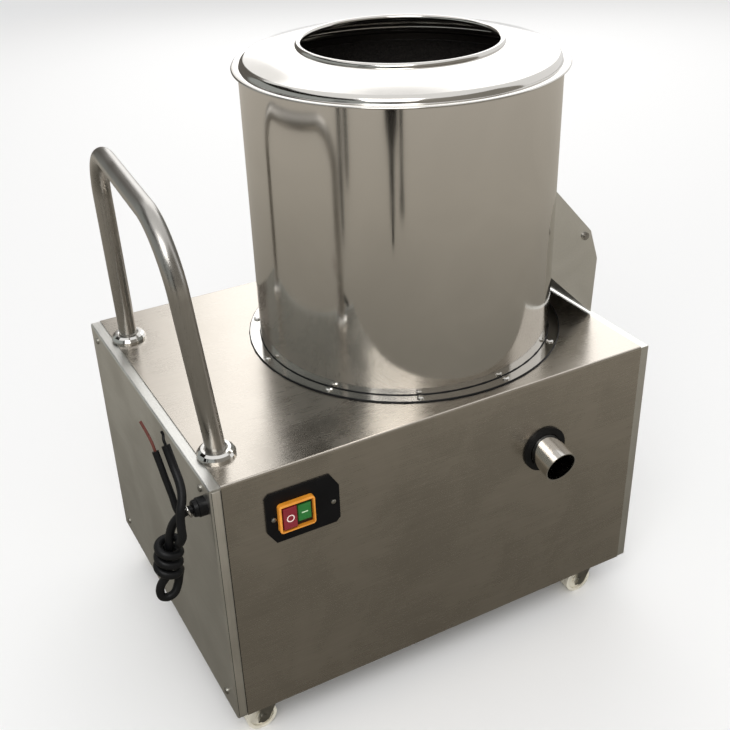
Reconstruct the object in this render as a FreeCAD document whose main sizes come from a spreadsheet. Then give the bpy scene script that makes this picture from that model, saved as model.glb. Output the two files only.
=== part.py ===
"""Electric potato peeler: a polished drum on a brushed steel cabinet, with castors and a push handle.

The frame has +Z up and stands on Z = 0. X runs to the right along the front, Y runs to the back, and the
origin is under the middle of the footprint. All sizes are millimetres.
"""
import FreeCAD, Part
import math
import os
import Sketcher
from FreeCAD import Placement, Rotation, Vector

doc = FreeCAD.newDocument("potato_peeler")

# Driving dimensions
SIZES = [
    ("body_rise", 327, "cabinet sheet, bottom edge to top"),
    ("castor_rise", 52, "floor to the cabinet's bottom edge"),
    ("sheet_gauge", 1.2, "stainless sheet"),
    ("bend_radius", 2.4, "outer radius of folded edges"),
    ("cover_depth", 13, "how far a side cover stands out"),
    ("cover_drop", 1.5, "side cover's edge below the top sheet"),
    ("cover_screw_in", 28, "cover screws in from the front and back edges"),
    ("cover_screw_down", 14, "upper cover screws below the top"),
    ("cover_screw_up", 21, "lower cover screws above the bottom edge"),
    ("screw_shank", 2, "radius of small screws"),
    ("screw_head", 4.2, "radius of small screw heads"),
    ("screw_head_rise", 2.4, "height of small screw heads"),
    ("drum_left_room", 152.5, "drum's wall from the cabinet's left edge"),
    ("drum_right_room", 28.5, "drum's wall from the cabinet's right edge"),
    ("drum_front_room", 26.6, "drum's wall from the front"),
    ("drum_back_room", 29.4, "drum's wall from the back"),
    ("drum_radius", 182, "outside of the drum"),
    ("drum_wall", 1.2, "drum sheet"),
    ("drum_rise", 331, "top sheet to the drum's upper edge"),
    ("flange_width", 13, "base flange outside the drum"),
    ("flange_gauge", 2, "base flange thickness"),
    ("flange_screw_in", 6.3, "flange screws outside the drum's wall"),
    ("flange_screw_count", 11, "screws round the flange"),
    ("flange_screw_start", -81.8, "angle of the first flange screw"),
    ("liner_gauge", 2.6, "abrasive liner"),
    ("liner_top_gap", 20, "liner below the drum's upper edge"),
    ("liner_foot_rise", 40, "liner's lower edge above the top sheet"),
    ("brim_out", 7.5, "lid's rolled brim outside the drum"),
    ("brim_rise", 2.6, "height of the brim"),
    ("lid_gauge", 1.2, "lid sheet"),
    ("skirt_depth", 12, "lid skirt inside the drum"),
    ("skirt_gap", 0.4, "lid skirt to drum"),
    ("shoulder_in", 1.5, "lid's shoulder inside the drum's outer face"),
    ("shoulder_bend", 8, "bend radius of the lid's shoulder"),
    ("cone_rise", 21.4, "inner edge of the cone above the drum's edge"),
    ("mouth_radius", 110.2, "feed opening"),
    ("mouth_land", 10, "flat land round the feed opening"),
    ("bead_thick", 7.1, "rolled bead round the feed opening"),
    ("bowl_depth", 115, "water bowl below the top sheet"),
    ("bowl_floor", 2, "water bowl's floor"),
    ("disc_gap", 7.2, "grinding disc to the liner"),
    ("disc_gauge", 6, "grinding disc thickness"),
    ("disc_level", 52, "disc's upper face above the top sheet"),
    ("grit_gauge", 1.5, "grit coat on the disc"),
    ("wave_rise", 9, "height of the disc's ridges"),
    ("wave_count", 3, "ridges on the disc"),
    ("hub_radius", 34, "disc hub"),
    ("hub_length", 22, "disc hub below the disc"),
    ("shaft_radius", 12.5, "main shaft"),
    ("bearing_radius", 26, "outside of the main bearings"),
    ("bearing_width", 15, "main bearings"),
    ("housing_radius", 33, "bearing housing tube"),
    ("housing_foot", 62, "bearing housing flange"),
    ("housing_foot_gauge", 8, "bearing housing flange thickness"),
    ("housing_below", 62, "bearing housing below the bowl"),
    ("running_gap", 0.05, "radial clearance of running fits"),
    ("part_gap", 0.3, "clearance between moving pieces"),
    ("pulley_level", 142, "belt plane above the floor"),
    ("pulley_thick", 24, "both pulleys"),
    ("driven_radius", 100, "driven pulley"),
    ("motor_pulley_radius", 30, "motor pulley"),
    ("groove_depth", 10, "belt groove"),
    ("groove_slack", 0.6, "groove wider than the belt, each side"),
    ("groove_taper", 3, "groove narrows, each side"),
    ("belt_top", 13, "belt width"),
    ("belt_depth", 8, "belt height"),
    ("motor_radius", 58, "motor housing"),
    ("motor_bore", 50, "motor housing inside"),
    ("motor_rib", 4, "motor cooling ribs"),
    ("motor_rib_count", 20, "motor cooling ribs"),
    ("motor_length", 110, "motor housing"),
    ("motor_axis_height", 71, "motor axis from its feet"),
    ("motor_low", 188, "motor housing's lower edge above the floor"),
    ("motor_back", 320, "motor axis from the cabinet's front"),
    ("end_bell", 12, "motor end bells"),
    ("rotor_radius", 42, "motor rotor"),
    ("motor_shaft", 9.5, "motor shaft radius"),
    ("fan_radius", 44, "motor fan"),
    ("fan_cover_rise", 26, "motor fan cover"),
    ("plate_gauge", 4, "motor mounting plate"),
    ("angle_width", 30, "frame angle bars"),
    ("angle_gauge", 3, "frame angle bar thickness"),
    ("handle_tube", 10.8, "handle tube radius"),
    ("handle_wall", 1.5, "handle tube wall"),
    ("handle_in", 18.2, "handle feet from the left edge"),
    ("handle_front", 57.1, "front handle foot from the front"),
    ("handle_back", 353.3, "back handle foot from the front"),
    ("handle_rise", 255.5, "handle centre line above the top"),
    ("handle_bend", 66.7, "handle bend radius"),
    ("handle_lean_front", 24.6, "front bend leans outwards"),
    ("handle_lean_back", 5.6, "back bend leans outwards"),
    ("handle_root", 16, "handle tube below the top sheet"),
    ("collar_radius", 21, "handle collars"),
    ("collar_rise", 8, "handle collars"),
    ("nut_thick", 6, "handle nuts"),
    ("nut_wall", 3.4, "handle nuts"),
    ("switch_left", 44, "switch plate from the left edge"),
    ("switch_right", 130, "switch plate's right edge from the left edge"),
    ("switch_drop", 29, "switch plate below the top"),
    ("switch_height", 64, "switch plate"),
    ("switch_gauge", 2.4, "switch plate"),
    ("switch_screw", 2.8, "radius of the switch plate's screw heads"),
    ("switch_screw_in", 8, "switch screws in from the plate's ends"),
    ("switch_screw_low", 3, "right switch screw below the left one"),
    ("switch_big_cut_x", 10, "long corner cuts, across"),
    ("switch_big_cut_z", 16, "long corner cuts, down"),
    ("switch_small_cut", 5, "short corner cuts"),
    ("collar_left", 56.7, "orange collar from the left edge"),
    ("collar_width", 42, "orange collar"),
    ("collar_height", 36.3, "orange collar"),
    ("collar_out", 8.6, "orange collar stands out"),
    ("collar_drop", 43.2, "orange collar's upper edge below the top"),
    ("collar_wall", 2.4, "orange collar's rim"),
    ("collar_corner", 4, "orange collar's corner radius"),
    ("collar_edge", 1.3, "orange collar's front edge radius"),
    ("button_edge", 1, "push buttons' front edge radius"),
    ("collar_well", 6, "orange collar's well"),
    ("stop_height", 27, "stop button"),
    ("start_height", 21, "start button"),
    ("button_width", 15.6, "push buttons"),
    ("button_sunk", 2.4, "start button's face behind the collar's face"),
    ("stop_proud", 3, "stop button's face in front of the start button's"),
    ("button_long", 9.8, "push buttons, front to back"),
    ("button_web", 2.2, "wall between the buttons"),
    ("button_travel", 3, "button stroke"),
    ("block_depth", 42, "contact block"),
    ("block_width", 34, "contact block"),
    ("block_height", 32, "contact block"),
    ("drain_across", 406, "drain pipe from the left edge"),
    ("drain_drop", 98.2, "drain axis below the top at the front sheet"),
    ("drain_out", 34, "drain pipe in front of the cabinet"),
    ("drain_radius", 21, "drain pipe"),
    ("drain_wall", 1.5, "drain pipe wall"),
    ("nose_start", 12, "hose seat starts in front of the cabinet"),
    ("nose_step", 0.4, "drain pipe behind its hose seat is thinner"),
    ("drain_slope", 12, "drain pipe falls, degrees"),
    ("grommet_radius", 29, "drain grommet"),
    ("grommet_thick", 7, "drain grommet"),
    ("chute_half", 104.5, "chute's half width"),
    ("chute_gauge", 1.5, "chute sheet"),
    ("chute_head_rise", 178, "chute's head at the drum, above the top sheet"),
    ("chute_foot_rise", 66, "chute's floor at the drum, above the top sheet"),
    ("chute_brow_reach", 24.6, "chute's brow outside the drum"),
    ("chute_brow_rise", 115, "chute's brow above the top sheet"),
    ("chute_nose_reach", 38, "chute's widest point outside the drum"),
    ("chute_nose_rise", 75, "chute's widest point above the top sheet"),
    ("chute_lip_reach", 35, "chute's lip outside the drum"),
    ("door_pin", 3, "chute door's pin radius"),
    ("door_pin_in", 9, "pin in from the chute's brow"),
    ("door_side_gap", 1.5, "chute door to the cheeks"),
    ("door_foot_rise", 18.5, "chute door's lower edge above the top sheet"),
    ("knuckle_wall", 1.5, "chute door's rolled knuckle"),
    ("latch_rise", 22, "latch spindle above the door's lower edge"),
    ("latch_radius", 4, "latch spindle"),
    ("latch_out", 16, "latch spindle in front of the door"),
    ("latch_grip", 44, "latch grip, end to end"),
    ("latch_tongue", 14, "latch tongue"),
    ("stop_rise", 32, "door stop above the top sheet"),
    ("stop_gap", 0.5, "door stop behind the door"),
    ("castor_in", 36, "castor axis from the cabinet's ends"),
    ("castor_deep", 27, "castor axis from the front and back"),
    ("castor_plate_x", 50, "castor plate"),
    ("castor_plate_y", 42, "castor plate"),
    ("castor_plate_gauge", 2.5, "castor plate"),
    ("castor_bolt_x", 36, "castor bolt spacing across"),
    ("castor_bolt_y", 29, "castor bolt spacing in depth"),
    ("castor_bolt", 2.5, "castor bolt radius"),
    ("castor_race", 13, "castor race radius"),
    ("castor_race_thick", 5.5, "castor race"),
    ("wheel_radius", 19, "castor wheels"),
    ("wheel_width", 16, "castor wheels"),
    ("wheel_trail", 13, "castor wheels behind their swivels"),
    ("fork_gauge", 2, "castor fork legs"),
    ("axle_radius", 3, "castor axles"),
    ("gland_in", 18, "cable gland from the front edge"),
    ("gland_drop", 29, "cable gland below the top"),
    ("gland_radius", 10.5, "cable gland"),
    ("gland_out", 14, "cable gland in front of the cover"),
    ("cord_radius", 4.6, "power cord"),
    ("leg_radius", 3.6, "second leg of the split cord"),
    ("core_radius", 1.5, "bare cores of the cord"),
    ("vent_count", 6, "louvres in the back"),
    ("vent_drop", 84, "first louvre below the top"),
    ("vent_height", 6, "louvres"),
    ("vent_pitch", 14, "step between louvres"),
    ("vent_in", 60, "louvres from the left edge"),
    ("vent_length", 100, "louvres"),
    ("foot_bolt", 4.1, "radius of the housing's bolt holes"),
    ("foot_bolt_in", 14, "housing's bolts in from its flange's edge"),
    ("base_slot_count", 7, "slots in the bottom plate"),
    ("base_slot_width", 10, "slots in the bottom plate"),
    ("base_slot_pitch", 30, "step between the bottom plate's slots"),
    ("base_slot_length", 120, "slots in the bottom plate"),
    ("hank_radius", 11.2, "middle of the cord's wraps"),
    ("hank_pitch", 12.5, "step between wraps"),
    ("hank_turns", 3, "wraps in the knot"),
]

sheet = doc.addObject("Spreadsheet::Sheet", "Sizes")
for row, (alias, number, meaning) in enumerate(SIZES, start=1):
    sheet.set("A%d" % row, meaning)
    sheet.set("B%d" % row, str(number))
    sheet.setAlias("B%d" % row, alias)

# Places worked out from the driving dimensions
PLACES = [
    ("top_z", "castor_rise + body_rise"),
    ("body_length", "drum_left_room + 2 * drum_radius + drum_right_room"),
    ("body_depth", "drum_front_room + 2 * drum_radius + drum_back_room"),
    ("front_y", "-(body_depth - drain_out) / 2"),
    ("back_y", "front_y + body_depth"),
    ("left_x", "-body_length / 2"),
    ("right_x", "body_length / 2"),
    ("drum_x", "left_x + drum_left_room + drum_radius"),
    ("drum_y", "front_y + drum_front_room + drum_radius"),
    ("drum_bore", "drum_radius - drum_wall"),
    ("disc_radius", "drum_bore - liner_gauge - disc_gap"),
    ("brim_radius", "drum_radius + brim_out"),
    ("shoulder_foot", "drum_radius - shoulder_in"),
    ("cone_head", "mouth_radius + mouth_land"),
    ("chute_root", "sqrt(drum_radius ^ 2 - chute_half ^ 2)"),
    ("chute_brow_out", "drum_radius + chute_brow_reach"),
    ("chute_nose_out", "drum_radius + chute_nose_reach"),
    ("chute_lip_out", "drum_radius + chute_lip_reach"),
    ("drum_top", "top_z + drum_rise"),
    ("flange_radius", "drum_radius + flange_width"),
    ("under_top", "top_z - sheet_gauge"),
    ("bowl_low", "under_top - bowl_depth"),
    ("disc_top", "top_z + disc_level"),
    ("disc_low", "disc_top - disc_gauge"),
    ("hub_low", "disc_low - hub_length"),
    ("housing_top", "hub_low - 6"),
    ("housing_low", "bowl_low - housing_below"),
    ("motor_x", "left_x + angle_width + sheet_gauge + plate_gauge + motor_axis_height"),
    ("motor_y", "front_y + motor_back"),
    ("motor_top", "motor_low + motor_length"),
    ("plate_x", "left_x + angle_width + sheet_gauge"),
    ("switch_x", "left_x + switch_left"),
    ("switch_far", "left_x + switch_right"),
    ("switch_head", "top_z - switch_drop"),
    ("switch_foot", "switch_head - switch_height"),
    ("collar_x", "left_x + collar_left"),
    ("collar_head", "top_z - collar_drop"),
    ("collar_mid_x", "collar_x + collar_width / 2"),
    ("collar_mid_z", "collar_head - collar_height / 2"),
    ("button_front", "front_y - collar_out + button_sunk"),
    ("button_back", "button_front + button_long"),
    ("block_front", "button_back + button_travel + 1"),
    ("drain_x", "left_x + drain_across"),
    ("drain_z", "top_z - drain_drop"),
    ("door_x", "drum_x + chute_brow_out - door_pin_in"),
    ("door_z", "top_z + chute_brow_rise - 5"),
    ("door_low", "top_z + door_foot_rise"),
    ("race_low", "castor_rise - castor_plate_gauge - castor_race_thick"),
    ("gland_y", "front_y + gland_in"),
    ("gland_z", "top_z - gland_drop"),
    ("cover_face", "left_x - cover_depth"),
]

places = doc.addObject("Spreadsheet::Sheet", "Places")
place_names = [name for name, formula in PLACES]
size_names = [name for name, number, meaning in SIZES]


def bound(text):
    """A formula in plain names, with each name pointed at its cell."""
    words = []
    word = ""
    for letter in text + " ":
        if letter.isalnum() or letter in "_.":
            word += letter
            continue
        if word in size_names:
            word = "Sizes." + word
        elif word in place_names:
            word = "Places." + word
        words.append(word + letter)
        word = ""
    return "".join(words).strip()


for row, (alias, formula) in enumerate(PLACES, start=1):
    own = bound(formula).replace("Places.", "")
    places.set("A%d" % row, "=" + own)
    places.setAlias("A%d" % row, alias)
doc.recompute()


def mm(name):
    """The value of one named size or place."""
    return float(sheet.get(name) if name in size_names else places.get(name))


# Helpers that make one feature each
def place(obj, x="0", y="0", z="0"):
    for axis, text in (("x", x), ("y", y), ("z", z)):
        obj.setExpression("Placement.Base." + axis, bound(text))
    return obj


def block(name, x0, x1, y0, y1, z0, z1):
    """A box between two corners."""
    obj = doc.addObject("Part::Box", name)
    obj.setExpression("Length", bound("(%s) - (%s)" % (x1, x0)))
    obj.setExpression("Width", bound("(%s) - (%s)" % (y1, y0)))
    obj.setExpression("Height", bound("(%s) - (%s)" % (z1, z0)))
    return place(obj, x0, y0, z0)


TURN = {
    "z": Rotation(),
    "x": Rotation(Vector(0, 1, 0), 90),
    "y": Rotation(Vector(1, 0, 0), -90),
}


def rod(name, radius, length, x, y, z, axis="z"):
    """A cylinder that starts at a point and runs along an axis."""
    obj = doc.addObject("Part::Cylinder", name)
    obj.setExpression("Radius", bound(radius))
    obj.setExpression("Height", bound(length))
    obj.Placement = Placement(Vector(), TURN[axis])
    return place(obj, x, y, z)


def cut(name, base, tools):
    """The base less one tool or several."""
    tool = tools[0] if len(tools) == 1 else join(name + "_tools", tools)
    obj = doc.addObject("Part::Cut", name)
    obj.Base = base
    obj.Tool = tool
    return obj


def softened(name, base, radius, wanted):
    """Rounds the edges that a test picks by their middle and direction."""
    doc.recompute()
    obj = doc.addObject("Part::Fillet", name)
    obj.Base = base
    picked = []
    for number, edge in enumerate(base.Shape.Edges, start=1):
        if wanted(edge.CenterOfMass, edge.tangentAt(edge.FirstParameter)):
            picked.append((number, radius, radius))
    obj.Edges = picked
    return obj


def join(name, shapes):
    obj = doc.addObject("Part::MultiFuse", name)
    obj.Shapes = shapes
    return obj


def tube(name, outer, inner, length, x, y, z, axis="z"):
    """A pipe with square ends."""
    return cut(name, rod(name + "_out", outer, length, x, y, z, axis), [rod(name + "_in", inner, length, x, y, z, axis)])


def outline(body, name, plane, points):
    """A closed sketch of straight lines whose corners are tied to cells."""
    sketch = body.newObject("Sketcher::SketchObject", name)
    sketch.AttachmentSupport = [(next(f for f in body.Origin.OriginFeatures if f.Role == plane), "")]
    sketch.MapMode = "FlatFace"
    count = len(points)
    for i in range(count):
        a = Vector(3.0 * i, 2.0 * i * i, 0)
        b = Vector(3.0 * ((i + 1) % count), 2.0 * ((i + 1) % count) ** 2, 0)
        sketch.addGeometry(Part.LineSegment(a, b))
    for i in range(count):
        sketch.addConstraint(Sketcher.Constraint("Coincident", i, 2, (i + 1) % count, 1))
    for i, (across, up) in enumerate(points):
        for kind, text in (("DistanceX", across), ("DistanceY", up)):
            index = sketch.addConstraint(Sketcher.Constraint(kind, i, 1, 1.0 + i))
            sketch.setExpression("Constraints[%d]" % index, bound(text))
    return sketch


def turned(name, points, x="0", y="0", z="0"):
    """A piece turned about an upright axis, from a profile of radius and height."""
    body = doc.addObject("PartDesign::Body", name)
    sketch = outline(body, name + "_profile", "XZ_Plane", points)
    spin = body.newObject("PartDesign::Revolution", name + "_turn")
    spin.Profile = sketch
    spin.ReferenceAxis = (sketch, ["V_Axis"])
    spin.Angle = 360
    return place(body, x, y, z)


def padded(name, plane, points, thick, x="0", y="0", z="0"):
    """A flat piece padded from an outline, towards the plane's back."""
    body = doc.addObject("PartDesign::Body", name)
    sketch = outline(body, name + "_outline", plane, points)
    pad = body.newObject("PartDesign::Pad", name + "_pad")
    pad.Profile = sketch
    pad.setExpression("Length", bound(thick))
    pad.Reversed = plane == "XZ_Plane"
    return place(body, x, y, z)


def solid(name, shape):
    """A piece whose shape is made directly."""
    obj = doc.addObject("Part::Feature", name)
    obj.Shape = shape
    return obj


NODES = {}


def node(name, obj):
    """Names a finished sub-part."""
    obj.Label = name
    NODES[name] = obj
    return obj


# Cabinet sheet: front, top and back in one fold
def make_cabinet():
    outer = block("cabinet_outer", "left_x", "right_x", "front_y", "back_y", "castor_rise", "top_z")
    hollow = block("cabinet_hollow", "left_x - 1", "right_x + 1", "front_y + sheet_gauge", "back_y - sheet_gauge",
                   "castor_rise - 1", "under_top")
    outer = softened("cabinet_bends", outer, mm("bend_radius"),
                     lambda middle, way: abs(way.x) > 0.9 and abs(middle.z - mm("top_z")) < 0.1)
    holes = [hollow, rod("cabinet_mouth", "drum_bore", "2 * sheet_gauge", "drum_x", "drum_y", "under_top - 0.5")]
    for end, deep in (("front", "handle_front"), ("back", "handle_back")):
        holes.append(rod("cabinet_handle_" + end, "handle_tube + running_gap", "2 * sheet_gauge",
                         "left_x + handle_in", "front_y + " + deep, "under_top - 0.5"))
    holes.append(block("cabinet_switch", "collar_x + 3", "collar_x + collar_width - 3", "front_y - 1",
                       "front_y + sheet_gauge + 1", "collar_head - collar_height + 3", "collar_head - 3"))
    holes.append(rod("cabinet_drain", "grommet_radius - 3", "sheet_gauge + 2", "drain_x", "front_y - 1", "drain_z", "y"))
    for i in range(int(mm("flange_screw_count"))):
        turn = "(flange_screw_start + %d * 360 / flange_screw_count)" % i
        holes.append(rod("cabinet_ring_hole_%d" % i, "screw_shank", "2 * sheet_gauge",
                         "drum_x + (drum_radius + flange_screw_in) * cos(%s * 1deg)" % turn,
                         "drum_y + (drum_radius + flange_screw_in) * sin(%s * 1deg)" % turn, "under_top - 0.5"))
    for side, across, high in SWITCH_SCREWS:
        holes.append(rod("cabinet_switch_hole_" + side, "screw_shank", "sheet_gauge + 2", across, "front_y - 1", high, "y"))
    for i in range(int(mm("vent_count"))):
        head = "top_z - vent_drop - %d * vent_pitch" % i
        holes.append(block("cabinet_vent_%d" % i, "left_x + vent_in", "left_x + vent_in + vent_length",
                           "back_y - 2 * sheet_gauge", "back_y + 1", head + " - vent_height", head))
    node("cabinet_shell", cut("cabinet", outer, holes))


SWITCH_SCREWS = [
    ("left", "switch_x + switch_screw_in", "switch_foot + switch_height / 2"),
    ("right", "switch_far - switch_screw_in", "switch_foot + switch_height / 2 - switch_screw_low"),
]


def make_cover(side):
    """A shallow pan that closes one end of the cabinet."""
    if side == "left":
        face, root, sign = "left_x - cover_depth", "left_x", 1
        inner = ("left_x - cover_depth + sheet_gauge", "left_x + 1")
    else:
        face, root, sign = "right_x + cover_depth", "right_x", -1
        inner = ("right_x - 1", "right_x + cover_depth - sheet_gauge")
    low, high = (face, root) if sign > 0 else (root, face)
    pan = block(side + "_pan", low, high, "front_y + 0.6", "back_y - 0.6", "castor_rise + 0.6", "top_z - cover_drop")
    hollow = block(side + "_pan_hollow", inner[0], inner[1], "front_y + 0.6 + sheet_gauge",
                   "back_y - 0.6 - sheet_gauge", "castor_rise + 0.6 + sheet_gauge", "top_z - cover_drop - sheet_gauge")
    outside = mm(side + "_x") - sign * mm("cover_depth")
    inside = outside + sign * mm("sheet_gauge")
    pan = softened(side + "_pan_bends", pan, mm("bend_radius"), lambda middle, way: abs(middle.x - outside) < 0.1)
    hollow = softened(side + "_inner_bends", hollow, mm("bend_radius") - mm("sheet_gauge"),
                      lambda middle, way: abs(middle.x - inside) < 0.1)
    holes = [hollow]
    for i, (deep, high_z) in enumerate(COVER_SCREWS):
        holes.append(rod("%s_pan_hole_%d" % (side, i), "screw_shank", "cover_depth + 2", low + " - 1", deep, high_z, "x"))
    if side == "left":
        holes.append(rod("gland_hole", "gland_radius - 3", "cover_depth", "cover_face - 2", "gland_y", "gland_z", "x"))
    node(side + "_cover", cut(side + "_cover_cut", pan, holes))


COVER_SCREWS = [
    ("front_y + cover_screw_in", "top_z - cover_screw_down"),
    ("back_y - cover_screw_in", "top_z - cover_screw_down"),
    ("front_y + cover_screw_in", "castor_rise + cover_screw_up"),
    ("back_y - cover_screw_in", "castor_rise + cover_screw_up"),
]


def screw(name, x, y, z, length, axis, head_first=True, dome=0.6, radius=None):
    """A round-head screw: the head's root at a point, the shank along the axis."""
    radius = radius or mm("screw_head")
    step = {"x": Vector(1, 0, 0), "y": Vector(0, 1, 0), "z": Vector(0, 0, 1)}[axis]
    way = step if head_first else step * -1
    head = Part.makeCylinder(radius, mm("screw_head_rise") * dome, Vector(x, y, z), way * -1)
    crown_at = Vector(x, y, z) - way * (mm("screw_head_rise") * dome)
    crown = Part.makeCone(radius, radius * 0.55, mm("screw_head_rise") * (1 - dome), crown_at, way * -1)
    shank = Part.makeCylinder(mm("screw_shank") - 0.02, length, Vector(x, y, z), way)
    return head.fuse([crown, shank]).removeSplitter()


def make_panel_screws():
    """Eight cover screws and the two on the switch plate."""
    parts = []
    reach = mm("cover_depth") + mm("sheet_gauge") + mm("angle_gauge") + 3
    up = mm("front_y") + mm("cover_screw_in"), mm("back_y") - mm("cover_screw_in")
    heights = mm("top_z") - mm("cover_screw_down"), mm("castor_rise") + mm("cover_screw_up")
    for y in up:
        for z in heights:
            parts.append(screw("cover", mm("cover_face"), y, z, reach, "x"))
            parts.append(screw("cover", mm("right_x") + mm("cover_depth"), y, z, reach, "x", head_first=False))
    half = mm("switch_foot") + mm("switch_height") / 2
    for x, z in ((mm("switch_x") + mm("switch_screw_in"), half),
                 (mm("switch_far") - mm("switch_screw_in"), half - mm("switch_screw_low"))):
        parts.append(screw("switch", x, mm("front_y") - mm("switch_gauge"), z, 10, "y", radius=mm("switch_screw")))
    node("panel_screws", solid("panel_screw_set", Part.makeCompound(parts)))


# Inner frame of angle bar, and the plate that closes the bottom
def make_frame():
    g = "sheet_gauge"
    bars = []
    ends = [("front", "front_y + " + g, "front_y + sheet_gauge + angle_gauge", "front_y + sheet_gauge + angle_width"),
            ("back", "back_y - sheet_gauge", "back_y - sheet_gauge - angle_gauge", "back_y - sheet_gauge - angle_width")]
    low = "castor_rise + sheet_gauge"
    for name, face, inner, far in ends:
        near, deep, wide = (face, inner, far) if name == "front" else (inner, face, face)
        bars.append(block("rail_low_" + name, "left_x + sheet_gauge", "right_x - sheet_gauge", near, deep, low,
                          low + " + angle_width"))
        start = near if name == "front" else far
        bars.append(block("rail_foot_" + name, "left_x + sheet_gauge", "right_x - sheet_gauge", start, wide, low,
                          low + " + angle_gauge"))
        bars.append(block("rail_high_" + name, "left_x + sheet_gauge", "right_x - sheet_gauge", near, deep,
                          "under_top - angle_width", "under_top"))
        for side in ("left", "right"):
            x0, x1 = ("left_x", "left_x + angle_gauge") if side == "left" else ("right_x - angle_gauge", "right_x")
            w0, w1 = ("left_x", "left_x + angle_width") if side == "left" else ("right_x - angle_width", "right_x")
            bars.append(block("post_%s_%s_a" % (name, side), x0, x1, start, wide, low, "under_top"))
            bars.append(block("post_%s_%s_b" % (name, side), w0, w1, near, deep, low, "under_top"))
    for side in ("left", "right"):
        x0, x1 = ("left_x", "left_x + angle_gauge") if side == "left" else ("right_x - angle_gauge", "right_x")
        y0, y1 = "front_y + sheet_gauge", "back_y - sheet_gauge"
        bars.append(block("rail_end_low_" + side, x0, x1, y0, y1, low, low + " + angle_width"))
        bars.append(block("rail_end_high_" + side, x0, x1, y0, y1, "under_top - angle_width", "under_top"))
    for level, drop in (("low", "motor_low + 2"), ("high", "motor_top - 30")):
        bars.append(block("motor_rail_web_" + level, "plate_x - angle_gauge", "plate_x", "front_y + sheet_gauge",
                          "back_y - sheet_gauge", drop, drop + " + angle_width"))
        bars.append(block("motor_rail_foot_" + level, "left_x", "plate_x", "front_y + sheet_gauge",
                          "back_y - sheet_gauge", drop, drop + " + angle_gauge"))
    holes = []
    for i, (deep, up) in enumerate(COVER_SCREWS):
        holes.append(rod("frame_hole_%d" % i, "screw_shank", "body_length + 2", "left_x - 1", deep, up, "x"))
    holes += castor_holes("frame", "castor_rise - 1", "angle_gauge + sheet_gauge + 2")
    for side, across in (("left", "switch_x + 8.5"), ("right", "switch_far - 7.5")):
        holes.append(rod("frame_switch_hole_" + side, "screw_shank + 1", "30", across, "front_y - 1",
                         "switch_head - switch_height * 0.56", "y"))
    node("base_frame", cut("frame_cut", join("frame_bars", bars), holes))
    plate = block("base_sheet", "left_x", "right_x", "front_y + sheet_gauge", "back_y - sheet_gauge", "castor_rise",
                  low)
    slots = castor_holes("plate", "castor_rise - 1", "sheet_gauge + 2")
    for i in range(int(mm("base_slot_count"))):
        start = "drum_x + (%d - base_slot_count / 2 + 0.5) * base_slot_pitch" % i
        slots.append(block("base_slot_%d" % i, start, start + " + base_slot_width", "drum_y - base_slot_length / 2",
                           "drum_y + base_slot_length / 2", "castor_rise - 1", "castor_rise + 3"))
    node("base_plate", cut("base_cut", plate, slots))


CORNERS = [("fl", -1, -1), ("fr", 1, -1), ("bl", -1, 1), ("br", 1, 1)]


def castor_spot(right, back):
    across = "right_x - castor_in" if right > 0 else "left_x + castor_in"
    deep = "back_y - castor_deep" if back > 0 else "front_y + castor_deep"
    return across, deep


def castor_holes(prefix, low, length):
    """Four bolt holes at each corner."""
    holes = []
    for corner, right, back in CORNERS:
        across, deep = castor_spot(right, back)
        for i, (a, b) in enumerate(((-1, -1), (1, -1), (1, 1), (-1, 1))):
            holes.append(rod("%s_bolt_%s_%d" % (prefix, corner, i), "castor_bolt + 0.1", length,
                             "%s + %d * castor_bolt_x / 2" % (across, a), "%s + %d * castor_bolt_y / 2" % (deep, b), low))
    return holes


# Castors
def make_castors():
    plates = []
    bolts = []
    for corner, right, back in CORNERS:
        across, deep = castor_spot(right, back)
        top = block("castor_top_" + corner, across + " - castor_plate_x / 2", across + " + castor_plate_x / 2",
                    deep + " - castor_plate_y / 2", deep + " + castor_plate_y / 2",
                    "castor_rise - castor_plate_gauge", "castor_rise")
        race = rod("castor_race_" + corner, "castor_race", "castor_race_thick", across, deep, "race_low")
        pin = rod("castor_pin_" + corner, "4", "castor_race_thick + 6", across, deep, "race_low - 5")
        head = rod("castor_pin_head_" + corner, "7", "2", across, deep, "race_low - 5.2")
        whole = join("castor_fixed_" + corner, [top, race, pin, head])
        plates.append(cut("castor_plate_" + corner, whole, castor_holes_one(corner, across, deep)))
        bolts += castor_bolts(right, back)
        make_fork(corner, across, deep)
    node("castor_plates", join_apart("castor_plate_set", plates))
    node("castor_bolts", solid("castor_bolt_set", Part.makeCompound(bolts)))


def castor_holes_one(corner, across, deep):
    return [rod("castor_hole_%s_%d" % (corner, i), "castor_bolt + 0.1", "castor_plate_gauge + 2",
                "%s + %d * castor_bolt_x / 2" % (across, a), "%s + %d * castor_bolt_y / 2" % (deep, b),
                "castor_rise - castor_plate_gauge - 1")
            for i, (a, b) in enumerate(((-1, -1), (1, -1), (1, 1), (-1, 1)))]


def join_apart(name, shapes):
    """Several solids of one kind kept apart in one node."""
    obj = doc.addObject("Part::Compound", name)
    obj.Links = shapes
    return obj


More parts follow.
